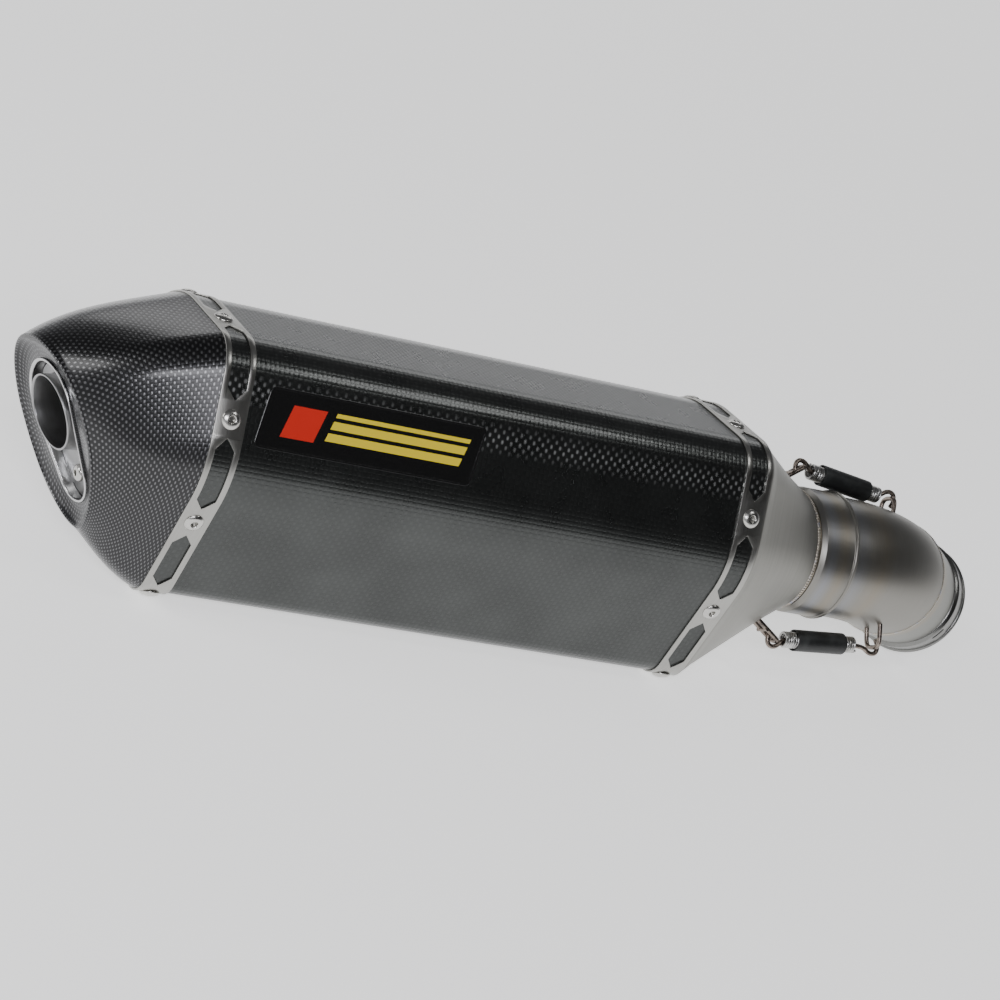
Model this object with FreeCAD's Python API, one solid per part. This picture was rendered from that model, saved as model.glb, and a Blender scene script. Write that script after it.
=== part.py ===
import FreeCAD, Part
import math
import os

# Slip-on exhaust muffler: a six-sided carbon can with a slanted end cap, a removable noise insert,
# riveted steel bands, a conical inlet cap and a short bent link pipe held in its socket by two
# rubber-sleeved springs.  Millimetres.  The parts are drawn upright, with X along the can's axis
# towards the engine and Z up in the can's mirror plane, and then laid down on one lower side.
# Origin after laying down: the centre of the link pipe's open end.

V = FreeCAD.Vector
FULL_TURN = 360.0

# ---- driving dimensions: the six-sided section, right half, as sharp corners and their radii ----
TOP_CORNER = 75.4
SHOULDER_HALF_WIDTH = 70.1
SHOULDER_HEIGHT = 39.3
WAIST_HALF_WIDTH = 60.5
WAIST_HEIGHT = -19.5
BOTTOM_CORNER = -73.9
TOP_RADIUS = 50.0
SHOULDER_RADIUS = 19.0
WAIST_RADIUS = 45.0
BOTTOM_RADIUS = 13.0

# ---- can ----
SLEEVE_LENGTH = 297.0
BAND_WIDTH = 15.0
SLEEVE_WALL = 2.0
CAP_WALL = 2.6
SPIGOT_DEPTH = 15.5
BAND_WALL = 0.9
WINDOW_HEIGHT = 9.3
WINDOW_POINT = 5.5
RIVET_PAD = 17.0
RIVET_SPOTS = (0.0, 46.5, 107.0, 160.5)
RIVET_HEAD_RADIUS = 4.7
RIVET_HEAD_HEIGHT = 1.7
RIVET_SHANK_RADIUS = 2.4
RIVET_BORE_RADIUS = 1.5
RIVET_LENGTH = 5.5
END_PLATE_SETBACK = 12.0
END_PLATE_WALL = 1.5
LOFT_POINTS = 60

# ---- slanted outlet ----
SLANT = math.radians(25.0)
OUTLET_TILT = math.radians(12.0)
RIM_CENTRE = V(-57.9, 0, -4.05)
RIM_HALF_LENGTH = 45.0
RIM_HALF_WIDTH = 30.0
RIM_EGG = 0.12
RIM_MARGIN = 0.8
RIM_SHRINK = 0.4
DISH_RISE = 6.0
DISH_TAPER = 0.68
FRONT_WALL = 6.0
FRONT_CROWN_RADIUS = 205.0
LIP_CENTRE = V(-54.25, 0, -4.25)
LIP_HALF_LENGTH = 34.0
LIP_TOP_RADIUS = 20.5
LIP_BOTTOM_RADIUS = 14.0
OUTLET_WALL = 1.4
INSERT_MOUTH = V(-59.8, 0, 3.4)
INSERT_RADIUS = 17.5
INSERT_WALL = 0.9
INSERT_DEPTH = 56.0
INSERT_CLEARANCE = 0.35
INSERT_PLATE_RECESS = 5.0
INSERT_PLATE_WALL = 1.5
BOLT_DROP = 20.0
BOLT_RADIUS = 2.5
BOLT_HEAD_RADIUS = 4.2
BOLT_HEAD_HEIGHT = 2.8
BOLT_LENGTH = 12.0
BOLT_SOCKET = 1.6
BOLT_SEAT_LENGTH = 2.4
BRACKET_WALL = 3.0

# ---- inlet end and link pipe ----
AXIS_HEIGHT = 4.0
CORE_RADIUS = 25.5
CORE_WALL = 1.0
CORE_END = 318.0
STUB_RADIUS = 30.6
PIPE_WALL = 1.2
CAP_NECK = 347.0
CAP_SHEET = 1.0
STUB_START = 338.0
STUB_END = 353.5
SOCKET_END = 372.0
SOCKET_LIP = 1.0
PIPE_RADIUS = 31.5
RUNNING_GAP = 0.06
PIPE_START = 354.5
BEND_START = 380.0
BEND_RADIUS = 80.0
BEND_ANGLE = 34.8
BEND_SIDE = math.radians(13.2)
REDUCER_LENGTH = 28.0
COLLAR_LENGTH = 14.0
COLLAR_RADIUS = 30.2
COLLAR_BORE_RADIUS = 27.6
COLLAR_SLOTS = 4
SLOT_LENGTH = 8.0
SLOT_WIDTH = 1.6
WELD_RADIUS = 1.1

# ---- springs ----
UPPER_HOOKS = (V(353, 0, 46.5), V(413, 1.5, 39.5))
LOWER_HOOKS = (V(347, 0, -43.5), V(412, 1.5, -38.5))
SPRING_RADIUS = 4.75
SPRING_WIRE = 0.8
HOOK_WIRE = 1.25
SPRING_HOOK = 3.6
COIL_START = 8.0
COIL_END = 50.0
RUBBER_START = 13.5
RUBBER_LENGTH = 31.0
RUBBER_RADIUS = 6.1
RUBBER_GAP = 0.25
HOOK_OVERHANG = 2.9
HAIRPIN_HALF_WIDTH = 2.6
HAIRPIN_LENGTH = 15.5
CROSS_BAR_SETBACK = 9.5
CROSS_BAR_LENGTH = 8.4
ARCH_DROP = 13.0
ARCH_HALF_WIDTH = 5.6

SLEEVE_START = -BAND_WIDTH / 2
SLEEVE_END = SLEEVE_START + SLEEVE_LENGTH
INLET_BAND_CENTRE = SLEEVE_END - BAND_WIDTH / 2
OUTLET_OUT = V(-math.cos(OUTLET_TILT), 0, -math.sin(OUTLET_TILT))
SLANT_UP = V(-math.sin(SLANT), 0, math.cos(SLANT))
SLANT_OUT = V(-math.cos(SLANT), 0, -math.sin(SLANT))
LYING_ROLL = math.degrees(math.atan2(WAIST_HEIGHT - BOTTOM_CORNER, WAIST_HALF_WIDTH))


# ---- the six-sided section, walked clockwise from its top centre ----

def corner_list(offset):
    """Sharp corners of the section moved outwards by offset, with their radii."""
    half = [(0, TOP_CORNER), (SHOULDER_HALF_WIDTH, SHOULDER_HEIGHT), (WAIST_HALF_WIDTH, WAIST_HEIGHT),
            (0, BOTTOM_CORNER)]
    loop = half + [(-y, z) for y, z in (half[2], half[1])]
    radii = [TOP_RADIUS, SHOULDER_RADIUS, WAIST_RADIUS, BOTTOM_RADIUS, WAIST_RADIUS, SHOULDER_RADIUS]
    corners = []
    for i, (y, z) in enumerate(loop):
        back = V(loop[i - 1][0] - y, loop[i - 1][1] - z, 0).normalize()
        ahead = V(loop[(i + 1) % 6][0] - y, loop[(i + 1) % 6][1] - z, 0).normalize()
        half_angle = back.getAngle(ahead) / 2
        inwards = (back + ahead).normalize()
        move = -offset / math.sin(half_angle)
        corners.append((y + inwards.x * move, z + inwards.y * move, radii[i] + offset, half_angle, inwards))
    return corners


def section_runs(offset):
    """Straights and arcs from the top centre, each as (length, function of distance -> point, normal)."""
    corners = corner_list(offset)
    runs = []
    for i in range(6):
        y, z, radius, half_angle, inwards = corners[i]
        centre = V(0, y, z) + V(0, inwards.x, inwards.y) * (radius / math.sin(half_angle))
        sweep = math.pi - 2 * half_angle
        middle = math.atan2(-inwards.y, -inwards.x)
        nxt = corners[(i + 1) % 6]
        tangent = radius / math.tan(half_angle)
        reach = math.hypot(nxt[0] - y, nxt[1] - z)
        straight = reach - tangent - nxt[2] / math.tan(nxt[3])
        runs.append(("arc", radius * sweep, centre, radius, middle + sweep / 2))
        runs.append(("line", straight, V(0, y, z), V(0, nxt[0] - y, nxt[1] - z).normalize(), tangent))
    return runs


def run_point(run, distance):
    """Point and outward normal at a distance along one straight or arc."""
    if run[0] == "arc":
        angle = run[4] - distance / run[3]
        normal = V(0, math.cos(angle), math.sin(angle))
        return run[2] + normal * run[3], normal
    normal = V(0, -run[3].z, run[3].y)
    return run[2] + run[3] * (run[4] + distance), normal


def section_point(distance, offset=0.0):
    """Point and outward normal at a distance round the un-offset section, moved outwards by offset."""
    runs = section_runs(0.0)
    total = sum(run[1] for run in runs)
    left = (distance + runs[0][1] / 2) % total
    for run in runs:
        if left <= run[1]:
            break
        left -= run[1]
    point, normal = run_point(run, left)
    return point + normal * offset, normal


def section_length():
    return sum(run[1] for run in section_runs(0.0))


def section_face(x, offset):
    """Flat six-sided face with exact arcs, across the axis at x."""
    edges = []
    for run in section_runs(offset):
        start, middle, end = (run_point(run, run[1] * part)[0] + V(x, 0, 0) for part in (0, 0.5, 1))
        if run[0] == "arc":
            edges.append(Part.Arc(start, middle, end).toShape())
        else:
            edges.append(Part.LineSegment(start, end).toShape())
    return Part.Face(Part.Wire(edges))


def section_bar(start, end, offset):
    return section_face(start, offset).extrude(V(end - start, 0, 0))


def section_tube(start, end, outer, inner):
    return section_bar(start, end, outer).cut(section_bar(start - 1, end + 1, inner))


# ---- shared helpers ----

def closed_wire(points):
    curve = Part.BSplineCurve()
    curve.interpolate(Points=points, PeriodicFlag=True)
    return Part.Wire(curve.toShape())


def loft(rings):
    return Part.makeLoft([closed_wire(ring) for ring in rings], True, False)


def fractions():
    return [i / LOFT_POINTS for i in range(LOFT_POINTS)]


def bar(start, direction, length, radius):
    return Part.makeCylinder(radius, length, start, direction)


def tube(start, direction, length, outer, inner):
    hole = bar(start - direction * 1.0, direction, length + 2, inner)
    return bar(start, direction, length, outer).cut(hole)


def ring_bead(centre, axis, ring_radius, bead_radius):
    return Part.makeTorus(ring_radius, bead_radius, centre, axis)


def bent_wire(points, bend, radius):
    """Round wire along straight runs joined by tangent arcs of the given bend radius."""
    edges = []
    start = points[0]
    for before, corner, after in zip(points, points[1:], points[2:]):
        back = (before - corner).normalize()
        ahead = (after - corner).normalize()
        half_angle = back.getAngle(ahead) / 2
        reach = bend / math.tan(half_angle)
        first = corner + back * reach
        last = corner + ahead * reach
        centre = corner + (back + ahead).normalize() * (bend / math.sin(half_angle))
        middle = centre + (corner - centre).normalize() * bend
        edges.append(Part.LineSegment(start, first).toShape())
        edges.append(Part.Arc(first, middle, last).toShape())
        start = last
    edges.append(Part.LineSegment(start, points[-1]).toShape())
    path = Part.Wire(edges)
    profile = Part.Wire(Part.makeCircle(radius, points[0], points[1] - points[0]))
    return path.makePipeShell([profile], True, True)


# ---- carbon sleeve, bands and rivets ----

def rivet_distances():
    """Distances round the section, from its top centre, of the rivets of one band."""
    total = section_length()
    half = list(RIVET_SPOTS) + [total / 2]
    return half + [total - spot for spot in reversed(RIVET_SPOTS[1:])]


def rivet_line(distance, x):
    point, normal = section_point(distance)
    return point + V(x, 0, 0), normal


def rivet_holes(x):
    reach = RIVET_LENGTH + 6
    holes = []
    for distance in rivet_distances():
        point, normal = rivet_line(distance, x)
        holes.append(bar(point - normal * reach / 2, normal, reach, RIVET_SHANK_RADIUS))
    return Part.Compound(holes)


def rivets(x):
    """Eight tubular rivets with domed heads, seated on one band."""
    solids = []
    dome = RIVET_HEAD_RADIUS * 1.6
    for distance in rivet_distances():
        point, normal = rivet_line(distance, x)
        seat = point + normal * BAND_WALL
        shank = bar(seat - normal * RIVET_LENGTH, normal, RIVET_LENGTH, RIVET_SHANK_RADIUS)
        head = bar(seat, normal, RIVET_HEAD_HEIGHT, RIVET_HEAD_RADIUS)
        ball = Part.makeSphere(dome, seat + normal * (RIVET_HEAD_HEIGHT - dome))
        bore = bar(seat - normal * 2 * RIVET_LENGTH, normal, 3 * RIVET_LENGTH, RIVET_BORE_RADIUS)
        solids.append(head.common(ball).fuse(shank).cut(bore).removeSplitter())
    return Part.Compound(solids)


def outer_sleeve():
    sleeve = section_tube(SLEEVE_START, SLEEVE_END, 0, -SLEEVE_WALL)
    return sleeve.cut(rivet_holes(0)).cut(rivet_holes(INLET_BAND_CENTRE))


def window_cutter(x, start, end):
    """Prism with pointed ends that follows the section between two distances round it."""
    steps = 22
    rings = []
    for i in range(steps + 1):
        distance = start + (end - start) * i / steps
        to_tip = min(distance - start, end - distance)
        half = max(0.05, WINDOW_HEIGHT / 2 * min(1.0, to_tip / WINDOW_POINT))
        point, normal = section_point(distance)
        low = point + V(x, 0, 0) - normal * 0.3
        high = point + V(x, 0, 0) + normal * (BAND_WALL + 1)
        rings.append([low - V(half, 0, 0), low + V(half, 0, 0), high + V(half, 0, 0), high - V(half, 0, 0)])
    faces = [Part.Face(Part.makePolygon(ring + ring[:1])) for ring in (rings[0], rings[-1])]
    for near, far in zip(rings, rings[1:]):
        for i in range(4):
            k = (i + 1) % 4
            faces.append(Part.Face(Part.makePolygon([near[i], near[k], far[k], near[i]])))
            faces.append(Part.Face(Part.makePolygon([near[i], far[k], far[i], near[i]])))
    return Part.Solid(Part.Shell(faces))


def band(x):
    """Steel band with a long pointed window between each pair of rivets."""
    strip = section_tube(x - BAND_WIDTH / 2, x + BAND_WIDTH / 2, BAND_WALL, 0)
    spots = rivet_distances()
    gaps = zip(spots, spots[1:] + [section_length()])
    cutters = [window_cutter(x, a + RIVET_PAD / 2, b - RIVET_PAD / 2) for a, b in gaps]
    return strip.cut(cutters).cut(rivet_holes(x))


# ---- slanted carbon end cap ----

def rim_point(fraction, shrink=0.0):
    """Point of the cap's egg-shaped rim in the slanted plane."""
    angle = 2 * math.pi * fraction
    up = (RIM_HALF_LENGTH - shrink) * math.cos(angle)
    across = (RIM_HALF_WIDTH - shrink) * math.sin(angle) * (1 + RIM_EGG * math.cos(angle))
    return RIM_CENTRE + SLANT_UP * up + V(0, across, 0)


def cap_ring(step, offset, past_rim, rim_shrink):
    """Ring of the end cap's skin; step 0 is at the sleeve and step 1 at a set distance past the rim."""
    ring = []
    for fraction in fractions():
        section = section_point(fraction * section_length(), offset)[0] + V(SLEEVE_START, 0, 0)
        rim = rim_point(fraction, rim_shrink) + SLANT_OUT * past_rim
        topness = (1 + math.cos(2 * math.pi * fraction)) / 2
        over_top = 0.72 * step + 0.28 * step ** 4
        under = 0.5 * step + 0.5 * step ** 2
        inwards = topness * over_top + (1 - topness) * under
        x = section.x + (rim.x - section.x) * step
        ring.append(V(x, section.y + (rim.y - section.y) * inwards, section.z + (rim.z - section.z) * inwards))
    return ring


def lip_outline(centre, shrink):
    """Egg outline in the slanted plane: a large top arc and a small bottom arc joined by tangents."""
    top_radius = LIP_TOP_RADIUS - shrink
    bottom_radius = LIP_BOTTOM_RADIUS - shrink
    rise = LIP_HALF_LENGTH - LIP_TOP_RADIUS
    drop = LIP_HALF_LENGTH - LIP_BOTTOM_RADIUS
    lean = math.asin((top_radius - bottom_radius) / (rise + drop))

    def spot(height, radius, angle):
        return centre + SLANT_UP * (height + radius * math.sin(angle)) + V(0, radius * math.cos(angle), 0)

    top = [spot(rise, top_radius, angle) for angle in (-lean, math.pi / 2, math.pi + lean)]
    bottom = [spot(-drop, bottom_radius, angle) for angle in (math.pi + lean, 1.5 * math.pi, -lean)]
    edges = [Part.Arc(*top).toShape(), Part.LineSegment(top[2], bottom[0]).toShape(),
             Part.Arc(*bottom).toShape(), Part.LineSegment(bottom[2], top[0]).toShape()]
    return Part.Wire(edges)


def slanted_bar(centre, shrink, outwards, inwards):
    """Egg-section bar along the outlet's axis, from one slanted plane to another."""
    face = Part.Face(lip_outline(centre + OUTLET_OUT * outwards, shrink))
    return face.extrude(OUTLET_OUT * -(outwards + inwards))


def front_crown():
    """Large cylinder that gives the cap's front its sideways crown."""
    foot = RIM_CENTRE - SLANT_OUT * FRONT_CROWN_RADIUS - SLANT_UP * 150
    return bar(foot, SLANT_UP, 300, FRONT_CROWN_RADIUS)


def cap_spigot(end, way, wall):
    """Ring inside the end of the sleeve that carries a cap's rivets."""
    start = min(end, end + way * SPIGOT_DEPTH)
    ring = section_tube(start, start + SPIGOT_DEPTH, -SLEEVE_WALL, -SLEEVE_WALL - wall)
    return ring.cut(rivet_holes(end + way * BAND_WIDTH / 2))


def cap_dish():
    """Space in front of the steel lip, narrowing from the rim to the lip."""
    front = [rim_point(fraction, 0.0) + SLANT_OUT * DISH_RISE for fraction in fractions()]
    throat = [LIP_CENTRE + (rim_point(fraction) - RIM_CENTRE) * DISH_TAPER for fraction in fractions()]
    return loft([front, throat])


def end_cap():
    """Hollow cap with a dished front; its spigot goes inside the sleeve."""
    steps = [0.0, 0.2, 0.4, 0.6, 0.8, 0.93, 1.0]
    outer = loft([cap_ring(step, 0.0, RIM_MARGIN, RIM_SHRINK) for step in steps]).common(front_crown())
    inner = loft([cap_ring(step, -CAP_WALL, -FRONT_WALL, CAP_WALL - 1.5) for step in steps])
    shoulder = section_tube(SLEEVE_START - 1.5, SLEEVE_START, -1.0, -SLEEVE_WALL - CAP_WALL)
    shell = outer.cut(inner).cut(cap_dish()).cut(slanted_bar(LIP_CENTRE, 0, 30, 60))
    return shell.fuse([shoulder, cap_spigot(SLEEVE_START, 1, CAP_WALL)])


# ---- outlet tube, its plate and the noise insert ----

def outlet_tube():
    """Egg-section steel tube whose slanted lip shows inside the cap's rim."""
    body = slanted_bar(LIP_CENTRE, 0, 0, 90).cut(slanted_bar(LIP_CENTRE, OUTLET_WALL, 1, 95))
    inside = Part.makeBox(200, 200, 200, V(core_start(), -100, -100))
    return body.cut(inside)


def outlet_end_plate():
    start = SLEEVE_START + END_PLATE_SETBACK
    plate = section_bar(start, start + END_PLATE_WALL, -SLEEVE_WALL - CAP_WALL)
    return plate.cut(slanted_bar(LIP_CENTRE, 0, 5, 90))


def insert_tube():
    """Round tube of the noise insert, cut off along the slanted mouth, with three rows of holes."""
    start = INSERT_MOUTH + OUTLET_OUT * 20
    body = tube(start, OUTLET_OUT * -1, 20 + INSERT_DEPTH, INSERT_RADIUS, INSERT_RADIUS - INSERT_WALL)
    trim = Part.makeBox(60, 200, 200, V(0, -100, -100))
    trim.rotate(V(0, 0, 0), V(0, 1, 0), 180 - math.degrees(SLANT))
    trim.translate(INSERT_MOUTH)
    body = body.cut(trim)
    holes = []
    for row in range(3):
        centre = INSERT_MOUTH - OUTLET_OUT * (INSERT_DEPTH - 8 - 7 * row)
        for i in range(8):
            spoke = FreeCAD.Rotation(OUTLET_OUT, FULL_TURN * (i + row / 2) / 8).multVec(V(0, 1, 0))
            holes.append(bar(centre, spoke, INSERT_RADIUS + 2, 2.0))
    return body.cut(holes)


def insert_end_disc():
    """Disc that closes the insert's inner end, with a restricting hole."""
    start = INSERT_MOUTH - OUTLET_OUT * (INSERT_DEPTH - 2)
    return tube(start, OUTLET_OUT * -1, 1.2, INSERT_RADIUS - INSERT_WALL, 7.0)


def bolt_seat():
    """Centre of the bolt's seat on the front of the insert's plate."""
    return LIP_CENTRE - SLANT_UP * BOLT_DROP - OUTLET_OUT * (INSERT_PLATE_RECESS - 0.2)


def insert_plate():
    front = LIP_CENTRE - OUTLET_OUT * INSERT_PLATE_RECESS
    plate = Part.Face(lip_outline(front, OUTLET_WALL + INSERT_CLEARANCE))
    plate = plate.extrude(OUTLET_OUT * -INSERT_PLATE_WALL)
    seat = tube(bolt_seat(), OUTLET_OUT * -1, BOLT_SEAT_LENGTH, BOLT_HEAD_RADIUS + 1.0, BOLT_RADIUS + 0.05)
    round_hole = bar(INSERT_MOUTH + OUTLET_OUT * 30, OUTLET_OUT * -1, 90, INSERT_RADIUS)
    bolt_hole = bar(bolt_seat() + OUTLET_OUT * 9, OUTLET_OUT * -1, 30, BOLT_RADIUS + 0.05)
    return plate.fuse(seat).cut(round_hole).cut(bolt_hole).removeSplitter()


def insert_bolt():
    """Button-head bolt with a hexagon socket."""
    seat = bolt_seat()
    head = bar(seat, OUTLET_OUT, BOLT_HEAD_HEIGHT, BOLT_HEAD_RADIUS)
    dome = Part.makeSphere(5.2, seat + OUTLET_OUT * (BOLT_HEAD_HEIGHT - 5.2))
    shank = bar(seat, OUTLET_OUT * -1, BOLT_LENGTH, BOLT_RADIUS)
    top = seat + OUTLET_OUT * (BOLT_HEAD_HEIGHT + 0.5)
    corners = []
    for i in range(7):
        spoke = FreeCAD.Rotation(OUTLET_OUT, FULL_TURN * i / 6).multVec(V(0, 1, 0))
        corners.append(top + spoke * BOLT_SOCKET)
    socket = Part.Face(Part.makePolygon(corners)).extrude(OUTLET_OUT * -2.3)
    return head.common(dome).fuse(shank).cut(socket).removeSplitter()


def bolt_bracket():
    """Threaded bracket fixed across the foot of the outlet tube, behind the insert's plate."""
    front = LIP_CENTRE - OUTLET_OUT * (INSERT_PLATE_RECESS + INSERT_PLATE_WALL + 2.2)
    web = Part.Face(lip_outline(front, OUTLET_WALL)).extrude(OUTLET_OUT * -BRACKET_WALL)
    round_gap = bar(INSERT_MOUTH + OUTLET_OUT * 30, OUTLET_OUT * -1, 90, INSERT_RADIUS + 0.6)
    above = Part.makeBox(200, 200, 200, V(-100, -100, -8))
    above.rotate(V(0, 0, 0), V(0, 1, 0), -math.degrees(SLANT))
    above.translate(LIP_CENTRE + SLANT_UP * -2)
    hole = bar(bolt_seat() + OUTLET_OUT * 9, OUTLET_OUT * -1, 40, BOLT_RADIUS + 0.05)
    return web.cut(round_gap).cut(above).cut(hole)


# ---- inside of the can ----

def axis_point(x):
    return V(x, 0, AXIS_HEIGHT)


def core_start():
    return SLEEVE_START + END_PLATE_SETBACK + END_PLATE_WALL


def core_tube():
    """Perforated tube that carries the gas through the packing."""
    length = CORE_END - core_start()
    body = tube(axis_point(core_start()), V(1, 0, 0), length, CORE_RADIUS, CORE_RADIUS - CORE_WALL)
    rows = 9
    holes = []
    for row in range(rows):
        for i in range(3):
            spoke = FreeCAD.Rotation(V(1, 0, 0), 180.0 * (i + row % 2 / 2) / 3).multVec(V(0, 1, 0))
            centre = axis_point(core_start() + 30 + row * (length - 60) / (rows - 1))
            holes.append(bar(centre - spoke * 40, spoke, 80, 4.0))
    return body.cut(holes)


def packing():
    """Sound-absorbing wool between the core tube and the sleeve."""
    start = SLEEVE_START + SPIGOT_DEPTH + 0.5
    end = SLEEVE_END - SPIGOT_DEPTH - 0.5
    body = section_bar(start, end, -SLEEVE_WALL - 0.3)
    return body.cut(bar(axis_point(start - 1), V(1, 0, 0), end - start + 2, CORE_RADIUS + 0.3))


def inlet_end_plate():
    end = SLEEVE_END - END_PLATE_SETBACK
    plate = section_bar(end - END_PLATE_WALL, end, -SLEEVE_WALL - CAP_SHEET)
    return plate.cut(bar(axis_point(end - 10), V(1, 0, 0), 20, CORE_RADIUS))


def inlet_diffuser():
    """Cone from the core tube up to the bore of the inlet stub."""
    length = STUB_START - CORE_END
    outer = Part.makeCone(CORE_RADIUS, STUB_RADIUS, length, axis_point(CORE_END), V(1, 0, 0))
    inner = Part.makeCone(CORE_RADIUS - CORE_WALL, STUB_RADIUS - CORE_WALL, length, axis_point(CORE_END), V(1, 0, 0))
    return outer.cut(inner)


# ---- inlet cap, stub and socket ----

def neck_wire(x, radius):
    """Circle at the neck, split where the section's straights and arcs meet."""
    spots = []
    for run in section_runs(0.0):
        for part in (0, 0.5):
            point = run_point(run, run[1] * part)[0]
            angle = math.atan2(point.y, point.z - AXIS_HEIGHT)
            spots.append(axis_point(x) + V(0, math.sin(angle), math.cos(angle)) * radius)
    edges = []
    for i in range(0, len(spots), 2):
        edges.append(Part.Arc(spots[i], spots[i + 1], spots[(i + 2) % len(spots)]).toShape())
    return Part.Wire(edges)


def inlet_cone(offset):
    """Solid cone from the six-sided sleeve to the round neck."""
    sections = [section_face(SLEEVE_END, offset).OuterWire, neck_wire(CAP_NECK, STUB_RADIUS + CAP_SHEET + offset)]
    return Part.makeLoft(sections, True, True)


def inlet_cap():
    cone = inlet_cone(0.0).cut(inlet_cone(-CAP_SHEET))
    shoulder = section_tube(SLEEVE_END, SLEEVE_END + 1.2, 0, -SLEEVE_WALL - CAP_SHEET).common(inlet_cone(0.0))
    return cone.fuse([shoulder, cap_spigot(SLEEVE_END, -1, CAP_SHEET)])


def inlet_stub():
    length = STUB_END - STUB_START
    return tube(axis_point(STUB_START), V(1, 0, 0), length, STUB_RADIUS, STUB_RADIUS - PIPE_WALL)


def cap_weld():
    """Weld bead where the inlet cap meets the stub."""
    bead = ring_bead(axis_point(CAP_NECK + 0.4), V(1, 0, 0), STUB_RADIUS + 0.3, WELD_RADIUS)
    return bead.cut(bar(axis_point(CAP_NECK - 5), V(1, 0, 0), 10, STUB_RADIUS)).cut(inlet_cone(0.0))


def slip_socket():
    """Expanded socket with a rolled lip; the link pipe slides inside it."""
    bore = PIPE_RADIUS + RUNNING_GAP
    outside = bore + PIPE_WALL
    start = STUB_END - 3.5
    axis = V(1, 0, 0)
    neck = Part.makeCone(STUB_RADIUS + 0.2, outside, 2.5, axis_point(start), axis)
    wall = bar(axis_point(start + 2.5), axis, SOCKET_END - start - 2.5, outside)
    lip = ring_bead(axis_point(SOCKET_END - SOCKET_LIP), axis, outside - 0.1, SOCKET_LIP)
    hole = bar(axis_point(STUB_END), axis, 40, bore)
    return neck.fuse(wall).fuse(lip).cut(bar(axis_point(start - 1), axis, 8, STUB_RADIUS)).cut(hole)


# ---- link pipe ----

def bend_offset():
    return V(0, math.cos(BEND_SIDE), -math.sin(BEND_SIDE))


def bend_end():
    angle = math.radians(BEND_ANGLE)
    side = bend_offset()
    point = axis_point(BEND_START) + V(BEND_RADIUS * math.sin(angle), 0, 0) + side * (BEND_RADIUS * (1 - math.cos(angle)))
    direction = V(math.cos(angle), 0, 0) + side * math.sin(angle)
    return point, direction


def bent_bar(radius):
    """Solid bar of the link pipe's centre line: a straight in the socket and then the bend."""
    axis = V(1, 0, 0)
    side = bend_offset()
    straight = bar(axis_point(PIPE_START), axis, BEND_START - PIPE_START, radius)
    disc = Part.Face(Part.Wire(Part.makeCircle(radius, axis_point(BEND_START), axis)))
    pivot = axis_point(BEND_START) + side * BEND_RADIUS
    return straight.fuse(disc.revolve(pivot, axis.cross(side), BEND_ANGLE)).removeSplitter()


def link_bend():
    bore = bent_bar(PIPE_RADIUS - PIPE_WALL)
    return bent_bar(PIPE_RADIUS).cut(bore)


def link_reducer():
    point, direction = bend_end()
    outer = Part.makeCone(PIPE_RADIUS, COLLAR_RADIUS - 0.9, REDUCER_LENGTH, point, direction)
    inner = Part.makeCone(PIPE_RADIUS - PIPE_WALL, COLLAR_BORE_RADIUS, REDUCER_LENGTH, point, direction)
    return outer.cut(inner)


def bend_weld():
    point, direction = bend_end()
    bead = ring_bead(point, direction, PIPE_RADIUS, WELD_RADIUS * 0.8)
    return bead.cut(bar(point - direction * 5, direction, 10, PIPE_RADIUS + 0.02))


def collar_start():
    point, direction = bend_end()
    return point + direction * REDUCER_LENGTH, direction


def end_collar():
    """Clamping collar: four lengthwise slots with short cross slots, and a rolled end."""
    point, direction = collar_start()
    body = bar(point, direction, COLLAR_LENGTH, COLLAR_RADIUS)
    step = ring_bead(point + direction * 2.2, direction, COLLAR_RADIUS - 0.2, 1.0)
    end = ring_bead(point + direction * (COLLAR_LENGTH - 1.0), direction, COLLAR_RADIUS - 0.3, 1.0)
    bore = bar(point - direction * 2, direction, COLLAR_LENGTH + 6, COLLAR_BORE_RADIUS)
    shape = body.fuse([step, end]).cut(bore)
    slots = []
    for i in range(COLLAR_SLOTS):
        turn = FreeCAD.Rotation(direction, FULL_TURN * (i + 0.5) / COLLAR_SLOTS)
        spoke = turn.multVec(direction.cross(V(0, 0, 1)).normalize())
        side = direction.cross(spoke)
        corner = point + direction * 5.0 - side * SLOT_LENGTH / 2 + spoke * (COLLAR_BORE_RADIUS - 4)
        cross_slot = Part.makePolygon([corner, corner + side * SLOT_LENGTH, corner + side * SLOT_LENGTH
                                       + direction * SLOT_WIDTH, corner + direction * SLOT_WIDTH, corner])
        slots.append(Part.Face(cross_slot).extrude(spoke * 12))
    return shape.cut(slots)


# ---- springs, their rubber sleeves and their hooks ----

def spring_axis(hooks):
    return (hooks[1] - hooks[0]).normalize()


def spring_up(hooks):
    """Direction across the spring, away from the pipe."""
    axis = spring_axis(hooks)
    away = V(0, 0, 1) if hooks[0].z > 0 else V(0, 0, -1)
    return (away - axis * away.dot(axis)).normalize()


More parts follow.
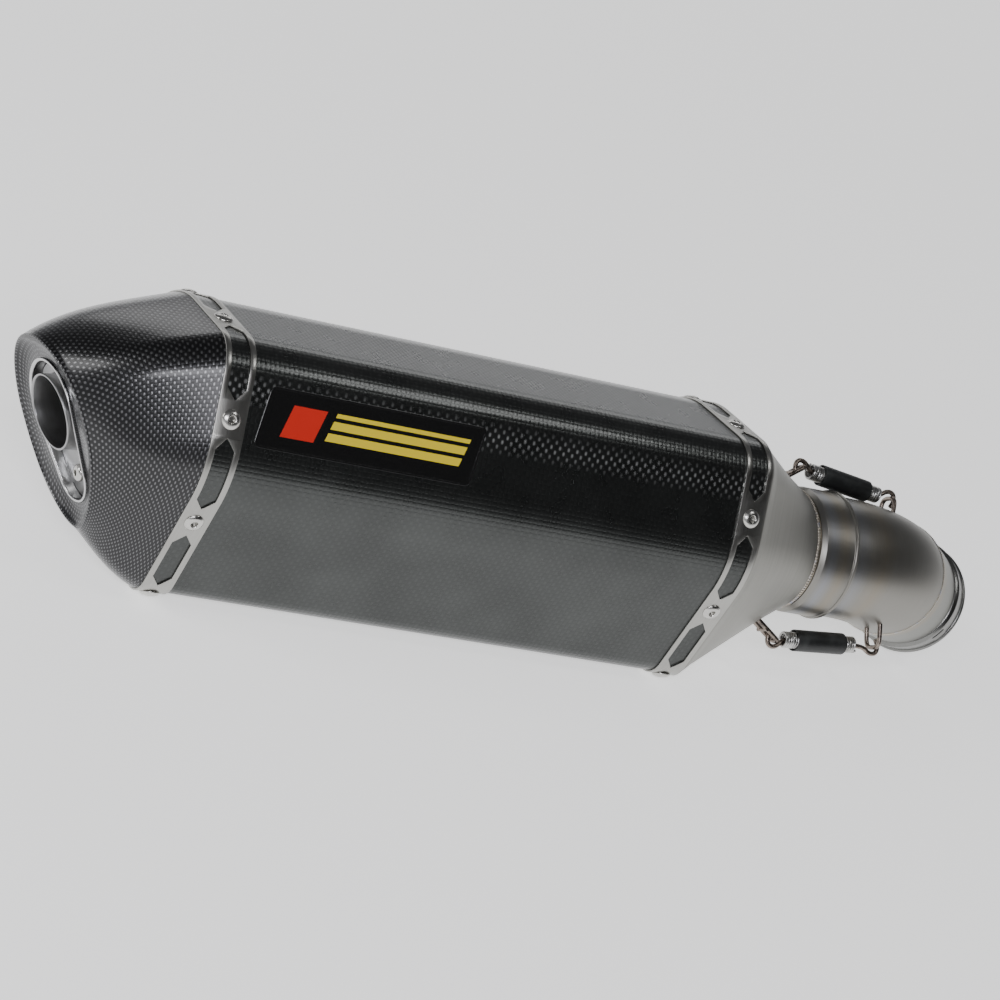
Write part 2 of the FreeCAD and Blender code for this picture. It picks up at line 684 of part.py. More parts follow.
def extension_spring(hooks):
    """Coil drawn as a tube, with a bent wire hook at each end."""
    axis = spring_axis(hooks)
    up = spring_up(hooks)
    length = (hooks[1] - hooks[0]).Length
    coil = tube(hooks[0] + axis * COIL_START, axis, COIL_END - COIL_START, SPRING_RADIUS,
                SPRING_RADIUS - 2 * SPRING_WIRE)
    solids = [coil]
    for start, way, coil_at in ((hooks[0], axis, COIL_START), (hooks[1], axis * -1, length - COIL_END)):
        tip = start - way * HOOK_OVERHANG - up * 3.0
        crown = start - way * HOOK_OVERHANG + up * SPRING_HOOK
        shoulder = start + way * 3.5 + up * SPRING_HOOK
        inside = start + way * (coil_at + 0.4) + up * 1.2
        core = bar(start + way * coil_at, way, 1.6, SPRING_RADIUS - SPRING_WIRE)
        solids.append(bent_wire([tip, crown, shoulder, inside], 2.2, HOOK_WIRE).fuse(core))
    return solids[0].fuse(solids[1:]).removeSplitter()


def rubber_sleeve(hooks):
    axis = spring_axis(hooks)
    return tube(hooks[0] + axis * RUBBER_START, axis, RUBBER_LENGTH, RUBBER_RADIUS, SPRING_RADIUS + RUBBER_GAP)


def can_hook(hooks):
    """Hairpin of wire welded to the inlet cap, with a short cross-bar that keeps the spring on."""
    axis = spring_axis(hooks)
    up = spring_up(hooks)
    side = axis.cross(up).normalize()
    lean = (up * 0.62 + axis * 0.78).normalize()
    nose = hooks[0] + lean * 2.3 - up * 0.4
    half = HAIRPIN_HALF_WIDTH
    root = nose - lean * HAIRPIN_LENGTH
    points = [root - side * half, nose - side * half, nose + side * half, root + side * half]
    pin = bent_wire(points, half - 0.05, HOOK_WIRE)
    bar_start = nose - lean * CROSS_BAR_SETBACK - side * CROSS_BAR_LENGTH / 2 - lean.cross(side) * 0.6
    return pin.fuse(bar(bar_start, side, CROSS_BAR_LENGTH, HOOK_WIRE * 0.85)).removeSplitter()


def pipe_hook(hooks):
    """Arch of wire welded to the link pipe; the spring's hook passes under it."""
    axis = spring_axis(hooks)
    up = spring_up(hooks)
    side = axis.cross(up).normalize()
    top = hooks[1] + up * 0.6
    spread = side * ARCH_HALF_WIDTH
    drop = up * ARCH_DROP
    points = [top - drop - spread, top - spread * 0.8, top + spread * 0.8, top - drop + spread]
    return bent_wire(points, 2.4, HOOK_WIRE)


# ---- plain label on the side of the sleeve ----

def side_label():
    """Thin blank plate with slanted ends, stuck on the side of the sleeve."""
    lower, normal = section_point(-117.0)
    upper = section_point(-88.5)[0]
    lean = 4.0
    start, length, wall = 17.0, 112.0, 0.35
    points = [V(start, 0, 0) + upper, V(start + length, 0, 0) + upper, V(start + length - lean, 0, 0) + lower,
              V(start - lean, 0, 0) + lower]
    return Part.Face(Part.makePolygon(points + points[:1])).extrude(normal * wall)


# ---- writing ----

def lay_down(shape):
    """Turn the upright can onto its lower side and put the origin at the pipe's open end."""
    point, direction = collar_start()
    mouth = point + direction * COLLAR_LENGTH
    laid = shape.copy()
    laid.translate(mouth * -1)
    laid.rotate(V(0, 0, 0), V(1, 0, 0), -LYING_ROLL)
    return laid


def all_parts():
    pipe_bar = bent_bar(PIPE_RADIUS)
    cap_bar = inlet_cone(0.0)
    stub_bar = bar(axis_point(STUB_START), V(1, 0, 0), STUB_END - STUB_START, STUB_RADIUS)
    reducer_bar = Part.makeCone(PIPE_RADIUS, COLLAR_RADIUS - 0.9, REDUCER_LENGTH, *bend_end())
    parts = {
        "outer_sleeve": outer_sleeve(), "end_cap": end_cap(), "outlet_band": band(0),
        "inlet_band": band(INLET_BAND_CENTRE), "outlet_rivets": rivets(0),
        "inlet_rivets": rivets(INLET_BAND_CENTRE), "outlet_tube": outlet_tube(),
        "outlet_end_plate": outlet_end_plate(), "bolt_bracket": bolt_bracket(),
        "insert_tube": insert_tube(), "insert_plate": insert_plate(), "insert_end_disc": insert_end_disc(),
        "insert_bolt": insert_bolt(), "core_tube": core_tube(), "packing": packing(),
        "inlet_end_plate": inlet_end_plate(), "inlet_diffuser": inlet_diffuser(), "inlet_cap": inlet_cap(),
        "inlet_stub": inlet_stub(), "cap_weld": cap_weld(), "slip_socket": slip_socket(),
        "link_bend": link_bend(), "bend_weld": bend_weld(), "link_reducer": link_reducer(),
        "end_collar": end_collar(), "side_label": side_label(),
    }
    for name, hooks in (("upper", UPPER_HOOKS), ("lower", LOWER_HOOKS)):
        parts[name + "_spring"] = extension_spring(hooks)
        parts[name + "_rubber_sleeve"] = rubber_sleeve(hooks)
        parts[name + "_can_hook"] = can_hook(hooks).cut(cap_bar).cut(stub_bar)
        parts[name + "_pipe_hook"] = pipe_hook(hooks).cut(pipe_bar).cut(reducer_bar)
    return parts


os.makedirs("parts", exist_ok=True)
for name, shape in all_parts().items():
    laid = lay_down(shape)
    laid.exportStep("parts/" + name + ".step")
    box = laid.BoundBox
    print(name, len(laid.Solids), laid.isValid(), round(laid.Volume), [round(n, 1) for n in
          (box.XMin, box.YMin, box.ZMin, box.XMax, box.YMax, box.ZMax)])
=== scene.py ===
import math

import bmesh
import bpy
from mathutils import Matrix, Vector


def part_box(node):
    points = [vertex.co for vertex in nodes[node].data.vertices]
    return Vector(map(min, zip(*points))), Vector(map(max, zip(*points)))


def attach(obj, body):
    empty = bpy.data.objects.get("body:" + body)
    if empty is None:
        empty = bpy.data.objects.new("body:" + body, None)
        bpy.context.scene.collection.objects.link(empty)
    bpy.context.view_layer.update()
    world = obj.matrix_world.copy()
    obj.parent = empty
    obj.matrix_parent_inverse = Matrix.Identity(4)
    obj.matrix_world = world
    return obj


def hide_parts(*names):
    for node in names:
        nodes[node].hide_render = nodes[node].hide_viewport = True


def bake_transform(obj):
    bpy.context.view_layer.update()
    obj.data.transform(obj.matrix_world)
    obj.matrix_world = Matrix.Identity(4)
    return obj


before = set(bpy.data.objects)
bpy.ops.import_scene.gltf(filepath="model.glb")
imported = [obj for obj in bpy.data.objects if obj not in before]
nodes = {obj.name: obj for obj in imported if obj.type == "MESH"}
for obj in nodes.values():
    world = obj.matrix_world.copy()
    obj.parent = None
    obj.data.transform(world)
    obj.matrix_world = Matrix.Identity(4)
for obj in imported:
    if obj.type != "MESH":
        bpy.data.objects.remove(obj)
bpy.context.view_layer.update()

MM = 0.001
TURN = 2 * math.pi


# ---------------------------------------------------------------- camera, floor and light

CAMERA_AZIMUTH = math.radians(34.14)
CAMERA_ELEVATION = math.radians(29.23)
CAMERA_ROLL = math.radians(28.84)
CAMERA_TARGET = Vector((-0.3191, -0.0784, 0.0665))
CAMERA_DISTANCE = 1.4889
CAMERA_LENS = 115.2


def shown(name, data):
    """New object of the data, linked to the scene."""
    obj = bpy.data.objects.new(name, data)
    bpy.context.scene.collection.objects.link(obj)
    return obj


def facing(direction):
    """Turn of a camera or lamp that looks along a direction."""
    return direction.to_track_quat("-Z", "Y").to_matrix().to_4x4()


def add_camera():
    camera = shown("camera", bpy.data.cameras.new("camera"))
    level = math.cos(CAMERA_ELEVATION)
    forward = Vector((math.sin(CAMERA_AZIMUTH) * level, math.cos(CAMERA_AZIMUTH) * level,
                      -math.sin(CAMERA_ELEVATION)))
    turn = facing(forward) @ Matrix.Rotation(CAMERA_ROLL, 4, "Z")
    camera.matrix_world = Matrix.Translation(CAMERA_TARGET - forward * CAMERA_DISTANCE) @ turn
    camera.data.lens = CAMERA_LENS
    camera.data.sensor_width = 36.0
    camera.data.clip_start = 0.05
    camera.data.clip_end = 60.0
    bpy.context.scene.camera = camera


def add_softbox(name, place, target, size, power, colour=(1, 1, 1)):
    lamp = bpy.data.lights.new(name, "AREA")
    lamp.shape = "RECTANGLE"
    lamp.size, lamp.size_y = size
    lamp.energy = power
    lamp.color = colour
    place = Vector(place)
    shown(name, lamp).matrix_world = Matrix.Translation(place) @ facing(Vector(target) - place)


add_camera()
FLOOR_HEIGHT = min(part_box(name)[0].z for name in nodes)
CAN_MIDDLE = (-0.32, -0.02, 0.03)


# ---------------------------------------------------------------- shader maths

class Value:
    """A shader socket that takes part in Python arithmetic."""

    def __init__(self, sheet, socket):
        self.sheet = sheet
        self.socket = socket

    def _math(self, operation, *terms):
        return self.sheet.add("ShaderNodeMath", {"operation": operation}, dict(enumerate(terms)))

    def __add__(self, other):
        return self._math("ADD", self, other)

    def __sub__(self, other):
        return self._math("SUBTRACT", self, other)

    def __mul__(self, other):
        return self._math("MULTIPLY", self, other)

    def __truediv__(self, other):
        return self._math("DIVIDE", self, other)

    def __pow__(self, other):
        return self._math("POWER", self, other)

    def __rsub__(self, other):
        return self._math("SUBTRACT", other, self)

    def __rtruediv__(self, other):
        return self._math("DIVIDE", other, self)

    __radd__ = __add__
    __rmul__ = __mul__

    def floor(self):
        return self._math("FLOOR", self)

    def fraction(self):
        return self._math("FRACT", self)

    def sine(self):
        return self._math("SINE", self)

    def above(self, limit):
        return self._math("GREATER_THAN", self, limit)

    def size(self):
        return self._math("ABSOLUTE", self)

    def least(self, other):
        return self._math("MINIMUM", self, other)

    def most(self, other):
        return self._math("MAXIMUM", self, other)

    def ramp(self, low, high, start=0.0, end=1.0):
        """Straight change from start to end while this value goes from low to high, clamped."""
        return self.sheet.add("ShaderNodeMapRange", {"clamp": True}, {
            "Value": self, "From Min": low, "From Max": high, "To Min": start, "To Max": end})

    def swell(self, middle, width):
        """1 at middle, falling to 0 at half a width away on both sides."""
        return 1 - ((self - middle) / (width / 2)).size().least(1.0)


class Sheet:
    """Node tree of a new material, or of the owner given, with its final shader."""

    def __init__(self, name, owner=None, shader="Principled BSDF"):
        self.material = owner or bpy.data.materials.new(name)
        self.material.use_nodes = True
        self.tree = self.material.node_tree
        self.surface = self.tree.nodes[shader]

    def add(self, kind, settings, inputs, output=0):
        node = self.tree.nodes.new(kind)
        for key, setting in settings.items():
            if key == "stops":
                self.set_stops(node.color_ramp, setting)
            else:
                setattr(node, key, setting)
        for key, value in inputs.items():
            self.feed(node.inputs[key], value)
        return Value(self, node.outputs[output])

    def set_stops(self, band, stops):
        while len(band.elements) < len(stops):
            band.elements.new(0.5)
        for element, (place, colour) in zip(band.elements, stops):
            element.position = place
            element.color = (*colour, 1.0)

    def feed(self, socket, value):
        if isinstance(value, Value):
            self.tree.links.new(value.socket, socket)
        elif socket.type == "RGBA":
            socket.default_value = (*value[:3], 1.0)
        else:
            socket.default_value = value

    def coordinates(self, source, scale=(1, 1, 1)):
        """Position on the piece in metres, from its UV map or its own space, times scale."""
        place = self.add("ShaderNodeTexCoord", {}, {}, source)
        return self.add("ShaderNodeMapping", {}, {"Vector": place, "Scale": scale})

    def parts(self, vector):
        first = self.add("ShaderNodeSeparateXYZ", {}, {0: vector})
        return [Value(self, socket) for socket in first.socket.node.outputs]

    def noise(self, vector, scale, detail=2.0, roughness=0.5):
        return self.add("ShaderNodeTexNoise", {}, {
            "Vector": vector, "Scale": scale, "Detail": detail, "Roughness": roughness})

    def mix(self, factor, first, second):
        """Colour between two colours; a Mix node keeps its colours at inputs 6 and 7 and output 2."""
        return self.add("ShaderNodeMix", {"data_type": "RGBA"}, {"Factor": factor, 6: first, 7: second}, 2)

    def ramp(self, factor, stops):
        return self.add("ShaderNodeValToRGB", {"stops": stops}, {0: factor})

    def bump(self, height, distance):
        return self.add("ShaderNodeBump", {}, {"Height": height, "Distance": distance, "Strength": 1.0})

    def finish(self, **sockets):
        for key, value in sockets.items():
            self.feed(self.surface.inputs[key.replace("_", " ")], value)
        return self.material


def woven_carbon(name, cell, crown, valley, relief, roughness, coat, coat_roughness, painted_highlight=0.0):
    """Plain-weave carbon under lacquer; the UV map gives distances over the surface.

    painted_highlight is how much brighter the weave's crowns are painted along the can's two shoulders: a
    painted highlight of the key light's glints, not a property of the weave.
    """
    sheet = Sheet(name)
    place = sheet.coordinates("UV")
    drift = (sheet.noise(place, 14.0, 1.0) - 0.5) * WEAVE_DRIFT
    girth_place, length_place, _ = sheet.parts(place)
    across = girth_place / cell + drift
    along = length_place / cell + drift
    parity = ((across.floor() + along.floor()) * 0.5).fraction().above(0.25)
    crown_across = (across.fraction() * math.pi).sine()
    crown_along = (along.fraction() * math.pi).sine()
    over = crown_along * (crown_across ** 0.35)
    under = crown_across * (crown_along ** 0.35)
    height = parity * over + (1 - parity) * under * 0.75
    filaments = sheet.noise(sheet.coordinates("UV", (7000.0, 900.0, 1.0)), 1.0, 1.0)
    cloud = sheet.noise(place, 30.0, 3.0)
    dot = parity * over.ramp(0.45, 0.95) * (0.7 + filaments * 0.6)
    # Painted highlight: the crowns' colour is brightened in two rows along the shoulders, where the key
    # light's glints fall.
    if painted_highlight:
        near_painted_highlight = girth_place.swell(SHOULDER_PAINTED_HIGHLIGHT, PAINTED_HIGHLIGHT_WIDTH)
        far_painted_highlight = girth_place.swell(GIRTH - SHOULDER_PAINTED_HIGHLIGHT, PAINTED_HIGHLIGHT_WIDTH)
        dot = dot * (1 + near_painted_highlight.most(far_painted_highlight) * painted_highlight)
    shade = sheet.mix(cloud.ramp(0.35, 0.7), valley, [c * 1.25 for c in valley])
    colour = sheet.mix((dot / (1 + painted_highlight)).least(1.0), shade, crown)
    smudge = sheet.noise(place, 60.0, 4.0)
    return sheet.finish(Base_Color=colour, Metallic=0.9, Roughness=roughness + smudge * 0.08,
                        Normal=sheet.bump(height, relief),
                        Coat_Weight=coat, Coat_Roughness=coat_roughness)


def brushed_metal(name, colour, roughness, stroke, depth=0.000006, wear=0.25, source="UV"):
    """Metal with fine strokes; stroke gives how closely they lie along and across the piece."""
    sheet = Sheet(name)
    lines = sheet.noise(sheet.coordinates(source, stroke), 1.0, 3.0, 0.6)
    coarse = sheet.noise(sheet.coordinates(source, tuple(s * 0.3 for s in stroke)), 1.0, 2.0)
    cloud = sheet.noise(sheet.coordinates("Object"), 35.0, 3.0, 0.6)
    tone = lines * 0.35 + coarse * 0.25 + cloud * 0.4
    dull = [c * (1 - wear) for c in colour]
    paint = sheet.mix(tone.ramp(0.32, 0.68), dull, colour)
    rough = roughness + (lines - 0.5) * 0.16 + (cloud - 0.5) * 0.12
    return sheet.finish(Base_Color=paint, Metallic=1.0, Roughness=rough.most(0.05),
                        Normal=sheet.bump(lines + coarse * 0.5, depth))


def heat_tinted(name, colour, roughness, bands, stroke=(60.0, 2500.0, 1.0)):
    """Brushed pipe whose UV height runs along the pipe; bands are (place, width, tint, share)."""
    sheet = Sheet(name)
    place = sheet.coordinates("UV")
    _, along, _ = sheet.parts(place)
    lines = sheet.noise(sheet.coordinates("UV", stroke), 1.0, 3.0, 0.6)
    cloud = sheet.noise(sheet.coordinates("Object"), 26.0, 4.0, 0.6)
    drift = (cloud - 0.5) * 0.008
    paint = sheet.mix((lines * 0.5 + cloud * 0.5).ramp(0.3, 0.7), [c * 0.8 for c in colour], colour)
    for middle, width, tint, share in bands:
        paint = sheet.mix((along + drift).swell(middle, width) * share, paint, tint)
    rough = roughness + (lines - 0.5) * 0.14 + (cloud - 0.5) * 0.16
    return sheet.finish(Base_Color=paint, Metallic=1.0, Roughness=rough.most(0.08),
                        Normal=sheet.bump(lines, 0.000005))


def weld_metal():
    sheet = Sheet("weld_bead")
    cloud = sheet.noise(sheet.coordinates("Object"), 300.0, 3.0)
    tints = [(0.3, (0.36, 0.33, 0.30)), (0.5, (0.55, 0.50, 0.42)), (0.7, (0.42, 0.44, 0.52))]
    paint = sheet.ramp(cloud, tints)
    return sheet.finish(Base_Color=paint, Metallic=1.0, Roughness=0.28 + cloud * 0.2,
                        Normal=sheet.bump(cloud, 0.00008))


def wire_metal(name, bright, dark, roughness):
    """Drawn wire with brown-grey oxide in patches."""
    sheet = Sheet(name)
    patch = sheet.noise(sheet.coordinates("Object"), 220.0, 4.0, 0.65)
    fine = sheet.noise(sheet.coordinates("Object"), 1800.0, 2.0)
    paint = sheet.mix(patch.ramp(0.38, 0.62), dark, bright)
    return sheet.finish(Base_Color=paint, Metallic=1.0, Roughness=roughness + (patch - 0.5) * 0.25,
                        Normal=sheet.bump(fine, 0.00002))


def black_rubber():
    sheet = Sheet("sleeve_rubber")
    grain = sheet.noise(sheet.coordinates("Object"), 2600.0, 3.0)
    dust = sheet.noise(sheet.coordinates("Object"), 110.0, 4.0, 0.6)
    paint = sheet.mix(dust.ramp(0.45, 0.75), (0.010, 0.011, 0.011), (0.035, 0.038, 0.037))
    return sheet.finish(Base_Color=paint, Roughness=0.38 + dust * 0.2,
                        Normal=sheet.bump(grain, 0.00002), Specular_IOR_Level=0.5)


def glass_wool():
    sheet = Sheet("packing_wool")
    strands = sheet.noise(sheet.coordinates("Object", (1.0, 3.0, 3.0)), 500.0, 5.0, 0.8)
    paint = sheet.ramp(strands, [(0.3, (0.45, 0.40, 0.22)), (0.7, (0.85, 0.80, 0.60))])
    return sheet.finish(Base_Color=paint, Roughness=0.95, Normal=sheet.bump(strands, 0.001))


LABEL_LENGTH = 0.112


def label_gloss():
    """Black gloss label with slanted colour blocks, placed in metres from its lower outlet-side corner."""
    sheet = Sheet("label_gloss")
    x, y, _ = sheet.parts(sheet.coordinates("UV"))
    slant = x - y * 0.30
    grain = sheet.noise(sheet.coordinates("UV"), 900.0, 3.0)
    inside = y.above(0.0066) * (1 - y.above(0.0216))
    red = inside * slant.above(0.006) * (1 - slant.above(0.023))
    stripe = ((y - 0.0066) / 0.0056).fraction().above(0.32)
    yellow = inside * slant.above(0.028) * (1 - slant.above(0.098)) * stripe
    black = sheet.mix(grain, (0.006, 0.006, 0.006), (0.012, 0.012, 0.012))
    paint = sheet.mix(red, black, (0.62, 0.03, 0.02))
    paint = sheet.mix(yellow, paint, (0.80, 0.62, 0.04))
    return sheet.finish(Base_Color=paint, Roughness=0.12 + grain * 0.1, Normal=sheet.bump(grain, 0.00001))


STEEL_WARM = (0.31, 0.30, 0.275)
STEEL_COOL = (0.27, 0.27, 0.25)
STRAW = (0.34, 0.275, 0.185)
BLUE = (0.30, 0.32, 0.375)


# ---------------------------------------------------------------- the can's section and its place in the row

TOP_CORNER = 75.4 * MM
SHOULDER = (70.1 * MM, 39.3 * MM)
WAIST = (60.5 * MM, -19.5 * MM)
BOTTOM_CORNER = -73.9 * MM
CORNER_RADII = [50 * MM, 19 * MM, 45 * MM, 13 * MM, 45 * MM, 19 * MM]
AXIS_HEIGHT = 4.0 * MM
LYING_ROLL = math.atan2(WAIST[1] - BOTTOM_CORNER, WAIST[0])

core_low, core_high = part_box("core_tube")
band_low, band_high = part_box("outlet_band")
sleeve_low, sleeve_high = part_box("outer_sleeve")
core_axis = (core_low + core_high) / 2
ROLL = Matrix.Rotation(-LYING_ROLL, 4, "X")
lift = ROLL @ Vector((0, 0, AXIS_HEIGHT))
BAND_MIDDLE = Vector(((band_low.x + band_high.x) / 2, core_axis.y, core_axis.z))
CAN_PLACE = Matrix.Translation(BAND_MIDDLE - lift) @ ROLL
BAND_WIDTH = band_high.x - band_low.x
SLEEVE_START = -BAND_WIDTH / 2
SLEEVE_LENGTH = sleeve_high.x - sleeve_low.x
SLEEVE_END = SLEEVE_START + SLEEVE_LENGTH
INLET_BAND = SLEEVE_END - BAND_WIDTH / 2


def section_runs():
    """Straights and arcs of the six-sided section, clockwise from its top centre.

    An arc is its kind, length, centre, radius and first angle. A line is its kind, length, corner, way and
    distance from that corner.
    """
    loop = [(0, TOP_CORNER), SHOULDER, WAIST, (0, BOTTOM_CORNER), (-WAIST[0], WAIST[1]),
            (-SHOULDER[0], SHOULDER[1])]
    corners = []
    for i, (y, z) in enumerate(loop):
        back = (Vector(loop[i - 1]) - Vector((y, z))).normalized()
        ahead = (Vector(loop[(i + 1) % 6]) - Vector((y, z))).normalized()
        half_angle = back.angle(ahead) / 2
        corners.append((Vector((y, z)), CORNER_RADII[i], half_angle, (back + ahead).normalized()))
    runs = []
    for i in range(6):
        spot, radius, half_angle, inwards = corners[i]
        following = corners[(i + 1) % 6]
        sweep = math.pi - 2 * half_angle
        middle = math.atan2(-inwards.y, -inwards.x)
        centre = spot + inwards * radius / math.sin(half_angle)
        runs.append(("arc", radius * sweep, centre, radius, middle + sweep / 2))
        tangent = radius / math.tan(half_angle)
        straight = (following[0] - spot).length - tangent - following[1] / math.tan(following[2])
        runs.append(("line", straight, spot, (following[0] - spot).normalized(), tangent))
    return runs


RUNS = section_runs()
GIRTH = sum(run[1] for run in RUNS)


def run_at(distance):
    """Index of the run at a distance round the section, and how far along that run it lies."""
    left = (distance + RUNS[0][1] / 2) % GIRTH
    for index, run in enumerate(RUNS):
        if left <= run[1]:
            return index, left
        left -= run[1]
    return len(RUNS) - 1, RUNS[-1][1]


def on_run(run, left):
    """Point and outward normal in the section's plane."""
    if run[0] == "arc":
        angle = run[4] - left / run[3]
        normal = Vector((math.cos(angle), math.sin(angle)))
        return run[2] + normal * run[3], normal
    return run[2] + run[3] * (run[4] + left), Vector((-run[3].y, run[3].x))


def section_point(distance, offset=0.0, x=0.0):
    """Point and outward normal at a distance round the section, moved outwards by offset."""
    index, left = run_at(distance)
    spot, normal = on_run(RUNS[index], left)
    spot = spot + normal * offset
    return Vector((x, spot.x, spot.y)), Vector((0, normal.x, normal.y))


# ---------------------------------------------------------------- mesh helpers

def mm(pairs):
    """Pairs of millimetres as metres."""
    return [(first * MM, second * MM) for first, second in pairs]


def settled(obj):
    """Mesh of an object as its curve or its modifiers make it."""
    bpy.context.view_layer.update()
    return bpy.data.meshes.new_from_object(obj.evaluated_get(bpy.context.evaluated_depsgraph_get()))


def circle(centre, side, other, radius, count):
    """Points round a circle in the plane of two directions."""
    angles = [TURN * j / count for j in range(count)]
    return [centre + (side * math.cos(a) + other * math.sin(a)) * radius for a in angles]


def new_piece(name, mesh, material, place=CAN_PLACE, smooth=35.0):
    """Object of a mesh given in the upright can's space, moved to where the can lies."""
    mesh.transform(place)
    mesh.update()
    for polygon in mesh.polygons:
        polygon.use_smooth = True
    mesh.set_sharp_from_angle(angle=math.radians(smooth))
    mesh.materials.clear()
    mesh.materials.append(material)
    return shown(name, mesh)


def skin(name, rings, across=lambda j: j * 0.001, along=lambda i: i * 0.001):
    """Closed mesh of quads between rings of points, the last ring joined to the first.

    The UV map holds distances, across each ring and along the rings.
    """
    count = len(rings[0])
    mesh = bpy.data.meshes.new(name)
    faces, values = [], []
    for i in range(len(rings)):
        k = (i + 1) % len(rings)
        for j in range(count):
            n = (j + 1) % count
            faces.append((i * count + j, i * count + n, k * count + n, k * count + j))
            values += [across(j), along(i), across(j + 1), along(i)]
            values += [across(j + 1), along(i + 1), across(j), along(i + 1)]
    mesh.from_pydata([point for ring in rings for point in ring], [], faces)
    mesh.uv_layers.new(name="surface").data.foreach_set("uv", values)
    return close_normals(mesh)


def close_normals(mesh, weld=1e-6):
    shape = bmesh.new()
    shape.from_mesh(mesh)
    bmesh.ops.remove_doubles(shape, verts=shape.verts, dist=weld)
    bmesh.ops.recalc_face_normals(shape, faces=shape.faces)
    shape.to_mesh(mesh)
    shape.free()
    return mesh


def turned(name, profile, steps=128, centre=Vector(), direction=Vector((1, 0, 0))):
    """Closed lathe mesh: profile is a loop of (along, radius) points turned about an axis."""
    side = direction.orthogonal().normalized()
    other = direction.cross(side)
    rings = [circle(centre + direction * along, side, other, radius, steps) for along, radius in profile]
    widest = max(radius for _, radius in profile)
    return skin(name, rings, lambda j: TURN * widest * j / steps, lambda i: profile[i % len(profile)][0])


def rounded(points, radius, steps=4):
    """Loop of (along, radius) points with each corner rounded off."""
    result = []
    for i, spot in enumerate(points):
        spot = Vector(spot)
        back = Vector(points[i - 1]) - spot
        ahead = Vector(points[(i + 1) % len(points)]) - spot
        reach = min(radius, back.length * 0.45, ahead.length * 0.45)
        first = spot + back.normalized() * reach
        last = spot + ahead.normalized() * reach
        for k in range(steps + 1):
            t = k / steps
            blend = first.lerp(spot, t).lerp(spot.lerp(last, t), t)
            result.append((blend.x, blend.y))
    return result


def wire_mesh(name, points, radius, resolution=6, sides=5):
    """Round wire led by points, as a mesh with closed ends."""
    curve = bpy.data.curves.new(name, "CURVE")
    curve.dimensions = "3D"
    spline = curve.splines.new("NURBS")
    spline.points.add(len(points) - 1)
    for point, spot in zip(spline.points, points):
        point.co = (*spot, 1.0)
    spline.order_u = 4
    spline.use_endpoint_u = True
    spline.resolution_u = resolution
    curve.bevel_depth = radius
    curve.bevel_resolution = sides
    curve.use_fill_caps = True
    holder = shown(name, curve)
    mesh = settled(holder)
    bpy.data.objects.remove(holder)
    return mesh


def merged(name, meshes):
    shape = bmesh.new()
    for mesh in meshes:
        shape.from_mesh(mesh)
    result = bpy.data.meshes.new(name)
    shape.to_mesh(result)
    shape.free()
    return result


def with_modifiers(obj, *modifiers):
    """Apply modifiers given as (kind, settings) and keep the resulting mesh."""
    for kind, settings in modifiers:
        modifier = obj.modifiers.new(kind, kind)
        for key, value in settings.items():
            setattr(modifier, key, value)
    mesh = settled(obj)
    obj.modifiers.clear()
    obj.data = mesh
    for polygon in mesh.polygons:
        polygon.use_smooth = True
    mesh.set_sharp_from_angle(angle=math.radians(40))


def place_piece(obj, body, slot, *replaced):
    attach(obj, body)
    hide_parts(*replaced)


# ---------------------------------------------------------------- geometry node trees

class GeometryTree:
    """A geometry node group with named inputs that ends in Realize Instances and Set Material."""

    def __init__(self, name, inputs):
        self.group = bpy.data.node_groups.new(name, "GeometryNodeTree")
        face = self.group.interface
        face.new_socket("Geometry", in_out="INPUT", socket_type="NodeSocketGeometry")
        face.new_socket("Geometry", in_out="OUTPUT", socket_type="NodeSocketGeometry")
        self.sockets = {}
        for key, kind in inputs.items():
            self.sockets[key] = face.new_socket(key, in_out="INPUT", socket_type="NodeSocket" + kind)
        self.start = self.group.nodes.new("NodeGroupInput")

    def add(self, kind, settings, inputs):
        node = self.group.nodes.new(kind)
        for key, setting in settings.items():
            setattr(node, key, setting)
        for key, value in inputs.items():
            if isinstance(value, bpy.types.NodeSocket):
                self.group.links.new(value, node.inputs[key])
            else:
                node.inputs[key].default_value = value
        return node

    def given(self, key):
        return self.start.outputs[key]

    def finish(self, geometry):
        solid = self.add("GeometryNodeRealizeInstances", {}, {"Geometry": geometry})
        smooth = self.add("GeometryNodeSetShadeSmooth", {}, {"Geometry": solid.outputs[0]})
        painted = self.add("GeometryNodeSetMaterial", {}, {
            "Geometry": smooth.outputs[0], "Material": self.given("Material")})
        end = self.group.nodes.new("NodeGroupOutput")
        self.group.links.new(painted.outputs[0], end.inputs[0])

    def build(self, name, values, carrier=None):
        """Plain mesh that the tree makes from a carrier mesh and the named values."""
        obj = shown(name, carrier or bpy.data.meshes.new(name))
        modifier = obj.modifiers.new("tree", "NODES")
        modifier.node_group = self.group
        for key, value in values.items():
            modifier[self.sockets[key].identifier] = value
        made = settled(obj)
        bpy.data.objects.remove(obj)
        return made


def live(node, name):
    """The enabled output of a node with this name."""
    return next(socket for socket in node.outputs if socket.enabled and socket.name == name)


def seated_copies_tree():
    """Copies of one object on the carrier's points, each turned to the point's outward direction."""
    tree = GeometryTree("seated_copies", {"Part": "Object", "Scale": "Float", "Material": "Material"})
    part = tree.add("GeometryNodeObjectInfo", {}, {"Object": tree.given("Part")})
    outward = tree.add("GeometryNodeInputNamedAttribute", {"data_type": "FLOAT_VECTOR"}, {
        "Name": "outward"})
    turn = tree.add("FunctionNodeAlignRotationToVector", {"axis": "Z"}, {
        "Vector": live(outward, "Attribute")})
    copies = tree.add("GeometryNodeInstanceOnPoints", {}, {
        "Points": tree.given("Geometry"), "Instance": part.outputs["Geometry"],
        "Rotation": turn.outputs[0], "Scale": tree.given("Scale")})
    tree.finish(copies.outputs[0])
    return tree


